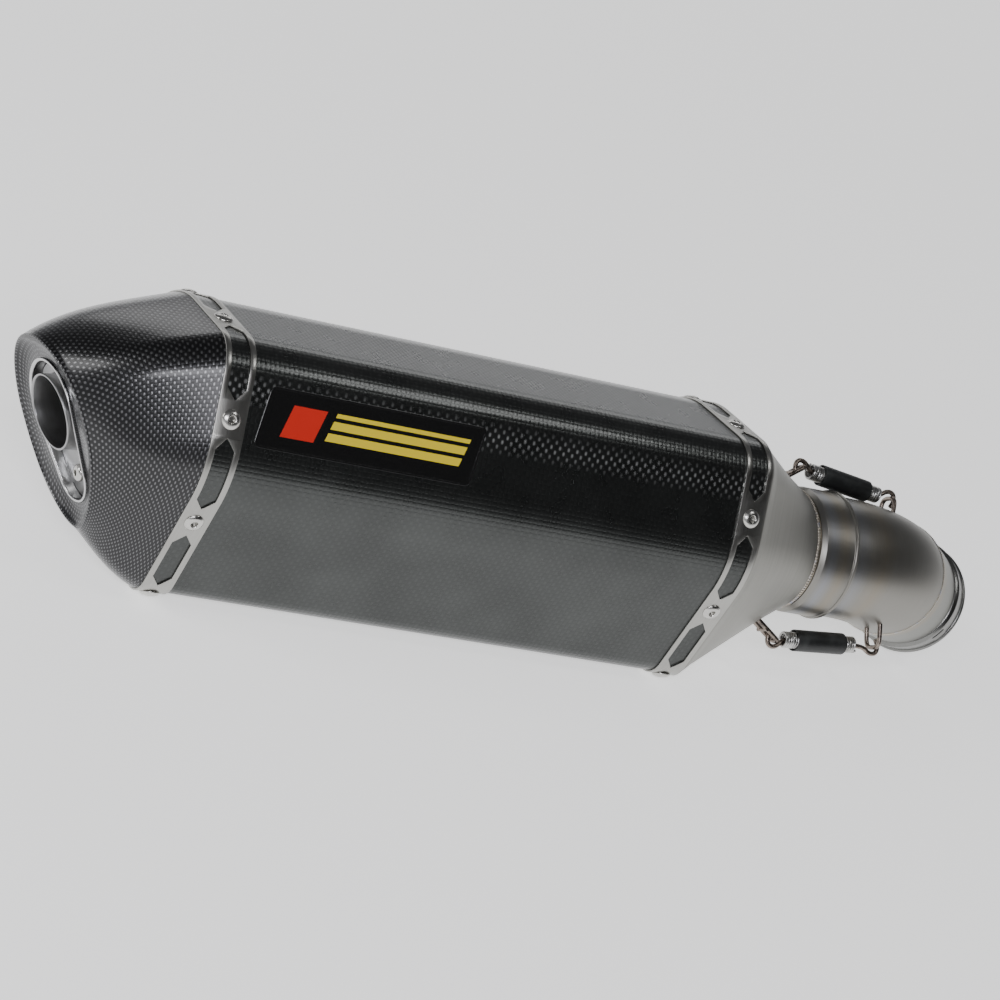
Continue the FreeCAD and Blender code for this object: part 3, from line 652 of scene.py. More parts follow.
def coil_tree():
    """Close-wound round-wire coil along Z."""
    tree = GeometryTree("coil", {"Turns": "Float", "Coil Radius": "Float", "Wire Radius": "Float",
                                 "Length": "Float", "Material": "Material"})
    helix = tree.add("GeometryNodeCurveSpiral", {}, {
        "Resolution": 28, "Rotations": tree.given("Turns"), "Start Radius": tree.given("Coil Radius"),
        "End Radius": tree.given("Coil Radius"), "Height": tree.given("Length")})
    wire = tree.add("GeometryNodeCurvePrimitiveCircle", {}, {
        "Resolution": 10, "Radius": tree.given("Wire Radius")})
    swept = tree.add("GeometryNodeCurveToMesh", {}, {
        "Curve": helix.outputs[0], "Profile Curve": wire.outputs[0], "Fill Caps": True})
    tree.finish(swept.outputs[0])
    return tree


def bead_tree():
    """Weld bead: overlapping flat beads laid round a circle in the XY plane."""
    tree = GeometryTree("weld_bead", {"Ring Radius": "Float", "Bead Radius": "Float", "Beads": "Int",
                                      "Material": "Material"})
    seam = tree.add("GeometryNodeCurvePrimitiveCircle", {}, {
        "Resolution": 240, "Radius": tree.given("Ring Radius")})
    points = tree.add("GeometryNodeCurveToPoints", {"mode": "COUNT"}, {
        "Curve": seam.outputs[0], "Count": tree.given("Beads")})
    bead = tree.add("GeometryNodeMeshUVSphere", {}, {
        "Segments": 10, "Rings": 7, "Radius": tree.given("Bead Radius")})
    tilt = tree.add("FunctionNodeRotateRotation", {"rotation_space": "LOCAL"}, {
        "Rotation": points.outputs["Rotation"], "Rotate By": (0.0, 0.0, 0.5)})
    copies = tree.add("GeometryNodeInstanceOnPoints", {}, {
        "Points": points.outputs["Points"], "Instance": bead.outputs["Mesh"], "Rotation": tilt.outputs[0],
        "Scale": (0.75, 1.25, 0.9)})
    tree.finish(copies.outputs[0])
    return tree


def frame_on(centre, direction, up=None):
    """Matrix whose Z runs along direction and whose origin is centre."""
    z = direction.normalized()
    x = (up or z.orthogonal()).normalized()
    x = (x - z * x.dot(z)).normalized()
    y = z.cross(x)
    turn = Matrix((x, y, z)).transposed().to_4x4()
    return Matrix.Translation(centre) @ turn


# ---------------------------------------------------------------- materials

CARBON_CELL = 0.0024
CAP_CELL = 0.0017
# Place round the section and width of the rows of painted highlight along the shoulders.
SHOULDER_PAINTED_HIGHLIGHT = 0.0925
PAINTED_HIGHLIGHT_WIDTH = 0.016
WEAVE_DRIFT = 0.10
# The sleeve's near-white crown colour shows only in the painted highlight rows along the shoulders; elsewhere
# its crowns stay dim.
carbon_sleeve = woven_carbon("carbon_sleeve", CARBON_CELL, (0.95, 0.96, 0.96), (0.056, 0.059, 0.057),
                             relief=0.00008, roughness=0.24, coat=0.25, coat_roughness=0.04, painted_highlight=90.0)
carbon_flange = woven_carbon("carbon_flange", CAP_CELL, (0.16, 0.16, 0.165), (0.012, 0.012, 0.013),
                             relief=0.00008, roughness=0.26, coat=0.8, coat_roughness=0.06)
carbon_cap = woven_carbon("carbon_cap", CAP_CELL, (0.17, 0.17, 0.175), (0.016, 0.016, 0.017),
                          relief=0.00012, roughness=0.28, coat=0.7, coat_roughness=0.20)
band_steel = brushed_metal("band_steel", (0.46, 0.455, 0.43), 0.32, (60.0, 3500.0, 1.0))
rivet_steel = brushed_metal("rivet_steel", (0.66, 0.65, 0.62), 0.24, (900.0, 900.0, 900.0), source="Object")
lip_steel = brushed_metal("lip_steel", (0.70, 0.70, 0.70), 0.20, (900.0, 90.0, 1.0))
plate_steel = brushed_metal("plate_steel", (0.46, 0.46, 0.46), 0.36, (700.0, 700.0, 60.0), source="Object")
tube_steel = brushed_metal("tube_steel", (0.42, 0.42, 0.42), 0.34, (60.0, 1500.0, 1.0))
# Painted shade: near-black steel for the rivets' bore bottoms, where only shade falls.
bore_painted_shade = brushed_metal("bore_painted_shade", (0.03, 0.03, 0.03), 0.60, (900.0, 900.0, 900.0), source="Object")
inner_steel = brushed_metal("inner_steel", (0.20, 0.19, 0.18), 0.55, (300.0, 300.0, 300.0), source="Object")
cap_steel = brushed_metal("cap_steel", (0.33, 0.325, 0.30), 0.42, (40.0, 1800.0, 1.0))
stub_steel = heat_tinted("stub_steel", STEEL_WARM, 0.40, [(0.350, 0.010, STRAW, 0.5)])
socket_steel = heat_tinted("socket_steel", STEEL_WARM, 0.40,
                           [(0.356, 0.010, BLUE, 0.45), (0.364, 0.010, STRAW, 0.3)])
pipe_steel = heat_tinted("pipe_steel", STEEL_WARM, 0.40,
                         [(0.376, 0.012, BLUE, 0.35), (0.388, 0.014, STRAW, 0.3)])
reducer_steel = heat_tinted("reducer_steel", STEEL_COOL, 0.40, [(0.004, 0.010, STRAW, 0.4)])
collar_steel = brushed_metal("collar_steel", (0.27, 0.27, 0.26), 0.28, (60.0, 2200.0, 1.0))
weld_bead = weld_metal()
zinc_wire = wire_metal("zinc_wire", (0.62, 0.62, 0.61), (0.36, 0.355, 0.34), 0.34)
dark_wire = wire_metal("dark_wire", (0.34, 0.29, 0.25), (0.12, 0.10, 0.09), 0.34)
rubber = black_rubber()
label_finish = label_gloss()
wool = glass_wool()


def make_floor():
    sheet = Sheet("floor")
    grain = sheet.noise(sheet.coordinates("Object"), 3.0, 2.0)
    paint = sheet.mix(grain, (0.80, 0.80, 0.80), (0.84, 0.84, 0.84))
    sheet.finish(Base_Color=paint, Roughness=0.9, Emission_Color=(1.0, 1.0, 1.0), Emission_Strength=0.95)
    mesh = bpy.data.meshes.new("floor")
    level, reach = FLOOR_HEIGHT - 0.0002, 12.0
    corners = [(-reach, -reach, level), (reach, -reach, level), (reach, reach, level), (-reach, reach, level)]
    mesh.from_pydata(corners, [], [(0, 1, 2, 3)])
    mesh.materials.append(sheet.material)
    shown("floor", mesh)


DARK_SIDE = Vector((0.49, -0.74, 0.45)).normalized()


def light_studio():
    """Pale horizon, dim ceiling with a darker patch to the right of the camera, and four soft lights."""
    world = bpy.context.scene.world or bpy.data.worlds.new("studio")
    bpy.context.scene.world = world
    sheet = Sheet("studio", world, "Background")
    look = sheet.add("ShaderNodeTexCoord", {}, {}, "Generated")
    towards = sheet.add("ShaderNodeVectorMath", {"operation": "DOT_PRODUCT"},
                        {0: look, 1: tuple(DARK_SIDE)}, "Value")
    _, _, rise = sheet.parts(look)
    ceiling = rise.ramp(0.03, 0.45, 0.42, 0.10)
    level = ceiling * towards.ramp(0.62, 0.90, 1.0, 0.12)
    sheet.finish(Color=(0.95, 0.96, 1.0), Strength=level)
    add_softbox("key", (-1.12, -1.42, 1.18), (-0.48, -0.04, 0.04), (1.3, 0.34), 17, (0.95, 0.95, 1.0))
    add_softbox("top", (0.30, -0.42, 1.30), (-0.30, -0.06, 0.06), (0.40, 0.30), 2)
    add_softbox("back", (0.3, 1.9, 0.9), CAN_MIDDLE, (2.0, 0.6), 6)
    add_softbox("left", (-2.0, 0.1, 0.8), CAN_MIDDLE, (0.6, 0.8), 8)


# ---------------------------------------------------------------- sleeve and bands

AROUND = 264


def ring_on_section(x, offset, count=AROUND):
    return [section_point(GIRTH * j / count, offset, x)[0] for j in range(count)]


def make_sleeve():
    wall = 2.0 * MM
    stops = [SLEEVE_START + SLEEVE_LENGTH * i / 24 for i in range(25)]
    rings = [ring_on_section(x, 0.0) for x in stops] + [ring_on_section(x, -wall) for x in reversed(stops)]
    xs = stops + stops[::-1]
    mesh = skin("sleeve", rings, lambda j: GIRTH * j / AROUND, lambda i: xs[i % len(xs)])
    place_piece(new_piece("sleeve_skin", mesh, carbon_sleeve, smooth=30), "can", "carbon", "outer_sleeve")


BAND_WALL = 0.9 * MM
RIVET_PAD = 17.0 * MM
WINDOW_HALF = 4.65 * MM
WINDOW_POINT = 5.5 * MM


def rivet_spots():
    half = [0.0, 46.5 * MM, 107.0 * MM, 160.5 * MM, GIRTH / 2]
    return half + [GIRTH - spot for spot in reversed(half[1:4])]


def pierced_strip(name, length, half_width, openings, opening_half, place, step):
    """Closed strip along a loop, pierced by openings given as (start, end, length of the point at each end).

    place(distance, across) gives the strip's points.
    """
    stops = {round(i * step, 7) for i in range(int(length / step) + 1)} | {length}
    for start, end, point in openings:
        stops |= {start, start + point, end - point, end}
    stops = sorted(stops)
    mesh = bpy.data.meshes.new(name)
    points, faces, marks = [], [], []

    def reach(distance):
        for start, end, point in openings:
            if start - 1e-9 <= distance <= end + 1e-9:
                share = min(distance - start, end - distance)
                return opening_half * min(1.0, share / point) if point > 1e-5 else opening_half
        return 0.0

    for stop in stops:
        half = reach(stop)
        for across in (-half_width, -half, half, half_width):
            points.append(place(stop, across))
            marks.append((stop, across))
    for i in range(len(stops) - 1):
        a, b = i * 4, i * 4 + 4
        faces.append((a, a + 1, b + 1, b))
        faces.append((a + 2, a + 3, b + 3, b + 2))
    mesh.from_pydata(points, [], faces)
    values = [n for face in faces for corner in face for n in marks[corner]]
    mesh.uv_layers.new(name="surface").data.foreach_set("uv", values)
    return close_normals(mesh, 2e-6)


def walled(piece, thickness, bevel):
    """Gives a piece's surface a wall inwards and breaks its edges."""
    with_modifiers(piece, ("SOLIDIFY", {"thickness": thickness, "offset": -1.0}),
                   ("BEVEL", {"width": bevel, "segments": 2, "limit_method": "ANGLE",
                              "angle_limit": math.radians(50)}))


def make_band(name, x, replaced):
    spots = rivet_spots()
    openings = [(a + RIVET_PAD / 2, b - RIVET_PAD / 2, WINDOW_POINT)
                for a, b in zip(spots, spots[1:] + [GIRTH])]

    def place(distance, across):
        return section_point(distance, BAND_WALL, x + across)[0]

    mesh = pierced_strip(name, GIRTH, BAND_WIDTH / 2, openings, WINDOW_HALF, place, 1.5 * MM)
    piece = new_piece(name, mesh, band_steel)
    middle = sum((v.co for v in mesh.vertices), Vector()) / len(mesh.vertices)
    first = mesh.polygons[0]
    if (first.center - middle).dot(first.normal) < 0:
        mesh.flip_normals()
    walled(piece, BAND_WALL - 0.05 * MM, 0.22 * MM)
    place_piece(piece, "can", "band_steel", replaced)


def carrier_of(spots):
    """Points with an outward direction each, for a geometry tree."""
    mesh = bpy.data.meshes.new("carrier")
    mesh.from_pydata([spot for spot, _ in spots], [], [])
    layer = mesh.attributes.new("outward", "FLOAT_VECTOR", "POINT")
    layer.data.foreach_set("vector", [n for _, normal in spots for n in normal])
    return mesh


def rivet_head():
    """Domed tubular rivet with a rolled bore, standing on the XY plane."""
    profile = rounded([(-0.9, 1.4), (1.0, 1.4), (1.65, 1.9), (1.65, 2.4), (1.3, 3.6), (0.5, 4.6), (-0.1, 4.7),
                       (-0.9, 2.2)], 0.6)
    return turned("rivet", mm(profile), 40, Vector(), Vector((0, 0, 1)))


def rivet_bore():
    """Bottom of a rivet's bore, painted near black as painted shade deep in the hole."""
    profile = [(-0.8, 0.1), (-0.8, 1.42), (-0.4, 1.42), (-0.4, 0.1)]
    return turned("bore", mm(profile), 24, Vector(), Vector((0, 0, 1)))


def make_rivets(tree, name, x, replaced):
    spots = [section_point(distance, BAND_WALL, x) for distance in rivet_spots()]
    for part, mesh, material in (("heads", rivet_head(), rivet_steel), ("bores", rivet_bore(), bore_painted_shade)):
        source = shown("rivet_source", mesh)
        mesh = tree.build(name, {"Part": source, "Scale": 1.0, "Material": material}, carrier_of(spots))
        bpy.data.objects.remove(source)
        place_piece(new_piece(name + "_" + part, mesh, material), "can", "rivet_steel", replaced)


# ---------------------------------------------------------------- slanted cap, lip, insert

SLANT = math.radians(25.0)
OUTLET_TILT = math.radians(12.0)
SLANT_UP = Vector((-math.sin(SLANT), 0, math.cos(SLANT)))
SLANT_OUT = Vector((-math.cos(SLANT), 0, -math.sin(SLANT)))
OUTLET_OUT = Vector((-math.cos(OUTLET_TILT), 0, -math.sin(OUTLET_TILT)))
ACROSS = Vector((0, 1, 0))
RIM_CENTRE = Vector((-57.9, 0, -4.05)) * MM
LIP_CENTRE = Vector((-54.25, 0, -4.25)) * MM
INSERT_MOUTH = Vector((-59.8, 0, 3.4)) * MM
LIP_HALF, LIP_TOP, LIP_BOTTOM = 34 * MM, 20.5 * MM, 14 * MM
CROWN_RADIUS = 205 * MM
CAP_AROUND = 300


def rim_point(fraction, shrink=0.0):
    angle = TURN * fraction
    up = (45 * MM - shrink) * math.cos(angle)
    across = (30.0 * MM - shrink) * math.sin(angle) * (1 + 0.12 * math.cos(angle))
    return RIM_CENTRE + SLANT_UP * up + ACROSS * across


def cap_skin_point(fraction, step, offset=0.0):
    section = section_point(fraction * GIRTH, offset, SLEEVE_START)[0]
    rim = rim_point(fraction, 0.4 * MM) + SLANT_OUT * 0.8 * MM
    topness = (1 + math.cos(TURN * fraction)) / 2
    over_top = 0.72 * step + 0.28 * step ** 4
    under = 0.5 * step + 0.5 * step ** 2
    inwards = topness * over_top + (1 - topness) * under
    x = section.x + (rim.x - section.x) * step
    return Vector((x, section.y + (rim.y - section.y) * inwards, section.z + (rim.z - section.z) * inwards))


def crown_depth(spot):
    """How far a point lies outside the crowned front surface, negative inside."""
    return (spot - RIM_CENTRE).dot(SLANT_OUT) + CROWN_RADIUS - math.sqrt(CROWN_RADIUS ** 2 - spot.y ** 2)


def last_inside(low, high, outside):
    """Highest value between low and high for which outside() is still false."""
    for _ in range(30):
        middle = (low + high) / 2
        low, high = (low, middle) if outside(middle) else (middle, high)
    return low


def crown_step(fraction):
    return last_inside(0.5, 1.0, lambda step: crown_depth(cap_skin_point(fraction, step)) > 0)


def lip_point(fraction, shrink=0.0):
    """Point of the lip's egg outline, in the direction of the same fraction round the rim."""
    angle = TURN * fraction
    up, across = math.cos(angle), abs(math.sin(angle))
    drop = LIP_HALF - LIP_BOTTOM
    height = 2 * LIP_HALF - LIP_TOP - LIP_BOTTOM
    lean = (LIP_BOTTOM - LIP_TOP) / height
    flat = math.sqrt(1 - lean * lean)

    def outside(reach):
        x, y = reach * across, reach * up + drop
        along = -lean * x + flat * y
        if along < 0:
            return math.hypot(x, y) > LIP_BOTTOM - shrink
        if along > flat * height:
            return math.hypot(x, y - height) > LIP_TOP - shrink
        return flat * x + lean * y > LIP_BOTTOM - shrink

    reach = last_inside(0.0, 0.06, outside)
    return LIP_CENTRE + SLANT_UP * reach * up + ACROSS * reach * math.sin(angle)


def fractions(count=CAP_AROUND):
    return [i / count for i in range(count)]


def make_cap():
    wall = 2.6 * MM
    rings, along = [], []
    steps = [0.0, 0.02, 0.06] + [0.1 + 0.9 * i / 34 for i in range(35)]
    last = [crown_step(f) for f in fractions()]
    for step in steps:
        rings.append([cap_skin_point(f, step * end) for f, end in zip(fractions(), last)])
        along.append(-0.0075 - 0.062 * step)
    edge = [cap_skin_point(f, end) for f, end in zip(fractions(), last)]
    inner_edge = []
    for f, spot in zip(fractions(), edge):
        middle = RIM_CENTRE + (spot - RIM_CENTRE).normalized() * ((spot - RIM_CENTRE).length - 1.6 * MM)
        inner_edge.append(middle - SLANT_OUT * crown_depth(middle))
    seat = [lip_point(f, -0.15 * MM) - SLANT_OUT * 0.8 * MM for f in fractions()]
    pushed = [spot + SLANT_OUT * 0.35 * MM for spot in edge]
    rolled = [a.lerp(b, 0.3) + SLANT_OUT * 0.75 * MM for a, b in zip(edge, inner_edge)]
    rolled_in = [a.lerp(b, 0.7) + SLANT_OUT * 0.7 * MM for a, b in zip(edge, inner_edge)]
    rings += [pushed, rolled, rolled_in, inner_edge]
    along += [-0.0702, -0.0710, -0.0718, -0.0726]
    flange_from = len(rings) - 2
    for t in (0.04, 0.12, 0.25, 0.4, 0.55, 0.7, 0.82, 0.92, 1.0):
        sag = 1 - (1 - t) ** 3.2
        rings.append([a + (b - a) * t + SLANT_OUT * ((b - a).dot(SLANT_OUT)) * (sag - t)
                      for a, b in zip(inner_edge, seat)])
        along.append(-0.0726 - 0.010 * t)
    rings.append([spot - OUTLET_OUT * 3 * MM for spot in seat])
    along.append(-0.086)
    for step in (0.9, 0.75, 0.6, 0.4, 0.2, 0.0):
        rings.append([cap_skin_point(f, step * end, -wall) - SLANT_OUT * step * 4 * MM
                      for f, end in zip(fractions(), last)])
        along.append(-0.0075 - 0.062 * step - 0.02)
    mesh = skin("cap", rings, lambda j: GIRTH * 0.86 * j / CAP_AROUND, lambda i: along[i % len(along)])
    piece = new_piece("cap_skin", mesh, carbon_cap, smooth=40)
    mesh.materials.append(carbon_flange)
    flange = set(range(flange_from * CAP_AROUND, (flange_from + 12) * CAP_AROUND))
    for polygon in mesh.polygons:
        if polygon.index in flange:
            polygon.material_index = 1
    place_piece(piece, "can", "carbon", "end_cap")


def make_outlet_tube():
    rings, along = [], []
    for shrink, inward in ((0, 40), (0, 6), (0, 0.5), (-0.15, 0.15), (0.0, -0.25), (0.5, -0.4), (1.0, -0.25),
                           (1.35, 0.2), (1.4, 0.8), (1.4, 4), (1.4, 12), (1.4, 40)):
        rings.append([lip_point(f, shrink * MM) - OUTLET_OUT * inward * MM for f in fractions(180)])
        along.append(inward * MM)
    mesh = skin("outlet", rings, lambda j: 0.17 * j / 180, lambda i: along[i % len(along)])
    place_piece(new_piece("outlet_lip", mesh, lip_steel, smooth=50), "can", "outlet_steel", "outlet_tube")


def slide_to_plane(point, plane_point):
    """Moves a point along the outlet's axis onto the slanted plane through plane_point."""
    return point + OUTLET_OUT * ((plane_point - point).dot(SLANT_OUT) / OUTLET_OUT.dot(SLANT_OUT))


def insert_circle(fraction, radius):
    up = OUTLET_OUT.cross(ACROSS).normalized()
    if up.z < 0:
        up = -up
    angle = TURN * fraction
    return INSERT_MOUTH + up * radius * math.cos(angle) + ACROSS * radius * math.sin(angle)


def make_insert():
    count = 160
    rings, along = [], []
    for radius, inward in ((17.5, 52), (17.5, 5.2), (17.5, 0.6), (17.62, 0.1), (17.45, -0.3), (17.05, -0.42),
                           (16.7, -0.2), (16.6, 0.5), (16.6, 6), (16.6, 20), (16.6, 52)):
        rings.append([slide_to_plane(insert_circle(f, radius * MM), INSERT_MOUTH) - OUTLET_OUT * inward * MM
                      for f in fractions(count)])
        along.append(inward * MM)
    mesh = skin("insert", rings, lambda j: 0.11 * j / count, lambda i: along[i % len(along)])
    piece = new_piece("insert_sleeve", mesh, tube_steel, smooth=50)
    place_piece(piece, "noise_insert", "outlet_steel", "insert_tube")
    make_insert_face(count)


def make_insert_face(count):
    """Plate between the lip and the insert's tube."""
    front = LIP_CENTRE - OUTLET_OUT * 5 * MM
    rings = []
    for t, inward in ((0.0, 0.2), (0.03, 0.0), (0.5, 0.0), (0.97, 0.0), (1.0, 0.3), (1.0, 1.5), (0.0, 1.5)):
        ring = []
        for f in fractions(count):
            outer = lip_point(f, 1.75 * MM) - OUTLET_OUT * 5 * MM
            inner = slide_to_plane(insert_circle(f, 17.55 * MM), front)
            ring.append(outer.lerp(inner, t) - OUTLET_OUT * inward * MM)
        rings.append(ring)
    piece = new_piece("insert_face", skin("plate", rings), plate_steel, smooth=50)
    place_piece(piece, "noise_insert", "outlet_steel", "insert_plate")


def hexagon_reach(angle, apothem):
    return apothem / math.cos((angle % (TURN / 6)) - TURN / 12)


def make_bolt():
    """Button head with a hexagon socket, its shank going inwards."""
    count = 72
    seat = LIP_CENTRE - SLANT_UP * 20 * MM - OUTLET_OUT * 4.8 * MM

    def ring(height, reach):
        angles = [TURN * j / count for j in range(count)]
        return [Vector((reach(a) * math.cos(a), reach(a) * math.sin(a), height)) * MM for a in angles]

    rings = []
    for radius, height in ((2.5, -12), (2.5, -0.01), (4.0, 0.0), (4.2, 0.2), (4.2, 0.9), (4.05, 1.5),
                           (3.6, 2.2), (2.9, 2.65), (2.2, 2.85)):
        rings.append(ring(height, lambda angle: radius))
    for apothem, height in ((1.55, 2.85), (1.4, 2.7), (1.4, 0.9), (0.1, 0.7)):
        rings.append(ring(height, lambda angle: hexagon_reach(angle, apothem)))
    rings.append(ring(-12, lambda angle: 0.1))
    mesh = skin("bolt", rings)
    mesh.transform(frame_on(seat, OUTLET_OUT, ACROSS))
    place_piece(new_piece("insert_screw", mesh, rivet_steel), "insert_bolt", "rivet_steel", "insert_bolt")


# ---------------------------------------------------------------- inlet cap, stub and socket

AXIS_POINT = Vector((0, 0, AXIS_HEIGHT))
AXIS = Vector((1, 0, 0))
CAP_NECK = 347 * MM
STUB_RADIUS = 30.6 * MM


def neck_angle(index):
    """Angle about the can's axis of the place where a run of the section starts."""
    spot, _ = on_run(RUNS[index % len(RUNS)], 0)
    return math.atan2(spot.x, spot.y - AXIS_HEIGHT)


def neck_point(distance, radius):
    """Point of the round neck that the cap's straight side reaches from a distance round the section."""
    index, left = run_at(distance)
    first = neck_angle(index)
    gap = (neck_angle(index + 1) - first + math.pi) % TURN - math.pi
    angle = first + gap * left / RUNS[index][1]
    return Vector((CAP_NECK, math.sin(angle) * radius, AXIS_HEIGHT + math.cos(angle) * radius))


def make_inlet_cap():
    count = 264
    wall = 1.0 * MM
    distances = [GIRTH * j / count for j in range(count)]
    rings, along = [], []

    def ring(t, swell, offset=0.0):
        result = []
        for distance in distances:
            start, normal = section_point(distance, offset, SLEEVE_END)
            end = neck_point(distance, STUB_RADIUS + wall + offset)
            result.append(start.lerp(end, t) + normal * swell)
        return result

    for t in [0.0, 0.01, 0.025, 0.045, 0.07, 0.1] + [0.13 + 0.87 * i / 26 for i in range(27)]:
        rings.append(ring(t, 0.55 * MM * math.sin(math.pi * min(1.0, t / 0.1) ** 0.6) if t < 0.1 else 0.0))
        along.append(t * 0.08)
    for t in (1.0, 0.5, 0.0):
        rings.append(ring(t, 0.0, -wall))
        along.append(t * 0.08)
    mesh = skin("inlet_cap", rings, lambda j: 0.3 * j / count, lambda i: along[i % len(along)])
    place_piece(new_piece("inlet_cone", mesh, cap_steel, smooth=30), "can", "cap_steel", "inlet_cap")


def make_bead(tree, name, centre, direction, radius, bead, count, body, replaced):
    mesh = tree.build(name, {"Ring Radius": radius, "Bead Radius": bead, "Beads": count,
                             "Material": weld_bead})
    mesh.transform(frame_on(centre, direction))
    place_piece(new_piece(name, mesh, weld_bead), body, "weld_bead", replaced)


def make_stub():
    profile = [(338, 29.4), (338, 30.6), (346, 30.6), (353.5, 30.6), (353.5, 29.4)]
    mesh = turned("stub", mm(profile), 160, AXIS_POINT, AXIS)
    place_piece(new_piece("inlet_neck", mesh, stub_steel), "can", "cap_steel", "inlet_stub")


def make_socket():
    bore, outside = 31.56, 32.76
    profile = rounded([(350.0, 30.65), (350.0, 31.0), (352.5, outside), (369.9, outside), (370.1, 33.5),
                       (371.0, 33.9), (371.9, 33.5), (372.1, 32.5), (372.0, bore), (353.6, bore),
                       (353.6, 30.65)], 0.45)
    mesh = turned("socket", mm(profile), 200, AXIS_POINT, AXIS)
    place_piece(new_piece("socket_lip", mesh, socket_steel), "can", "cap_steel", "slip_socket")


# ---------------------------------------------------------------- link pipe

BEND_START = 380 * MM
BEND_RADIUS = 80 * MM
BEND_ANGLE = math.radians(34.8)
BEND_SIDE = math.radians(13.2)
REDUCER_LENGTH = 28 * MM
PIPE_OUTSIDE = 31.5 * MM
PIPE_INSIDE = 30.3 * MM
TO_SIDE = Vector((0, math.cos(BEND_SIDE), -math.sin(BEND_SIDE)))


def pipe_frame(walked):
    """Centre and direction of the pipe at a distance from the start of its bend, negative before it."""
    if walked <= 0:
        return AXIS_POINT + AXIS * (BEND_START + walked), AXIS
    angle = min(walked / BEND_RADIUS, BEND_ANGLE)
    direction = AXIS * math.cos(angle) + TO_SIDE * math.sin(angle)
    centre = (AXIS_POINT + AXIS * (BEND_START + BEND_RADIUS * math.sin(angle))
              + TO_SIDE * BEND_RADIUS * (1 - math.cos(angle)))
    return centre + direction * (walked - angle * BEND_RADIUS), direction


def pipe_ring(walked, radius, count):
    centre, direction = pipe_frame(walked)
    side = AXIS.cross(TO_SIDE)
    return circle(centre, side, direction.cross(side), radius, count)


def make_pipe(name, profile, material, slot, replaced, uv_start):
    """Closed pipe wall from a loop of (walked, radius) along the link pipe's centre line."""
    count = 180
    rings = [pipe_ring(walked, radius, count) for walked, radius in profile]
    mesh = skin(name, rings, lambda j: 0.2 * j / count, lambda i: uv_start + profile[i % len(profile)][0])
    place_piece(new_piece(name, mesh, material, smooth=50), "link_pipe", slot, replaced)


def make_link_pipe(beads):
    bend = BEND_RADIUS * BEND_ANGLE
    start = -25.5 * MM
    outward = [start + 0.3 * MM] + [start + (bend - start) * i / 48 for i in range(1, 48)] + [bend]
    outer = [(start, PIPE_OUTSIDE - 0.3 * MM)] + [(walked, PIPE_OUTSIDE) for walked in outward]
    inner = [(walked, PIPE_INSIDE) for walked in reversed(outward)] + [(start, PIPE_INSIDE)]
    make_pipe("pipe_bend", outer + inner, pipe_steel, "pipe_titanium", "link_bend", BEND_START)
    reach = bend + REDUCER_LENGTH
    outer = [(bend + REDUCER_LENGTH * i / 16, PIPE_OUTSIDE - 2.2 * MM * i / 16) for i in range(17)]
    inner = [(bend + REDUCER_LENGTH * t, PIPE_INSIDE - 2.7 * MM * t) for t in (1, 0.5, 0)]
    make_pipe("pipe_reducer", outer + inner, reducer_steel, "pipe_titanium", "link_reducer", -bend)
    centre, direction = pipe_frame(bend)
    make_bead(beads, "bend_seam", centre, direction, PIPE_OUTSIDE - 0.05 * MM, 0.62 * MM, 190, "link_pipe",
              "bend_weld")
    make_collar(reach)


def make_collar(reach):
    """Slotted wall with a step at its pipe end and a rolled rim at its mouth."""
    centre, direction = pipe_frame(reach)
    side = direction.cross(Vector((0, 0, 1))).normalized()
    other = direction.cross(side)
    radius = 30.2 * MM
    round_length = TURN * radius
    slots = [round_length * (i + 0.5) / 4 for i in range(4)]
    openings = [(middle - 4 * MM, middle + 4 * MM, 0.25 * MM) for middle in slots]
    low, high = 2.2 * MM, 13.4 * MM
    slot_middle = 5.8 * MM

    def place(distance, across):
        angle = distance / radius
        along = slot_middle + across
        if abs(across) > 2 * MM:
            along = low if across < 0 else high
        return centre + direction * along + (side * math.cos(angle) + other * math.sin(angle)) * radius

    strip = pierced_strip("collar", round_length, 6 * MM, openings, 0.8 * MM, place, 1.2 * MM)
    wall = new_piece("collar_wall", strip, collar_steel, place=Matrix())
    first = strip.polygons[0]
    if first.normal.dot(first.center - centre - direction * (first.center - centre).dot(direction)) < 0:
        strip.flip_normals()
    walled(wall, 2.55 * MM, 0.2 * MM)
    step = rounded([(0.1, 27.62), (0.1, 29.4), (1.4, 30.6), (2.2, 31.1), (3.1, 30.6), (3.3, 30.1),
                    (3.3, 27.62)], 0.5)
    rim = rounded([(11.6, 27.62), (11.6, 30.1), (12.2, 30.9), (13.2, 31.1), (13.95, 30.6), (14.0, 29.0),
                   (14.0, 27.62)], 0.5)
    rings = [turned("ring", mm(profile), 180, centre, direction) for profile in (step, rim)]
    mesh = merged("collar", [wall.data] + rings)
    bpy.data.objects.remove(wall)
    piece = new_piece("end_collar_ring", mesh, collar_steel, smooth=40)
    place_piece(piece, "link_pipe", "collar_steel", "end_collar")


# ---------------------------------------------------------------- springs

UPPER_HOOKS = (Vector((353, 0, 46.5)) * MM, Vector((413, 1.5, 39.5)) * MM)
LOWER_HOOKS = (Vector((347, 0, -43.5)) * MM, Vector((412, 1.5, -38.5)) * MM)
HOOK_WIRE = 1.25 * MM
COIL_START, COIL_END = 6.5 * MM, 52 * MM
COIL_RADIUS = 3.65 * MM
COIL_WIRE = 0.72 * MM
STRETCH_START, STRETCH_END = 38 * MM, 56 * MM


def spring_axes(hooks):
    axis = (hooks[1] - hooks[0]).normalized()
    away = Vector((0, 0, 1)) if hooks[0].z > 0 else Vector((0, 0, -1))
    up = (away - axis * away.dot(axis)).normalized()
    return axis, up, axis.cross(up).normalized()


def wire_path(start, axes, rows):
    """Points from start, each row giving millimetres along the axes."""
    return [start + sum((axis * reach * MM for axis, reach in zip(axes, row)), Vector()) for row in rows]


def both_legs(leg):
    """A leg's rows followed by its mirror image's, back to the foot."""
    return leg + [(along, -across) for along, across in reversed(leg)]


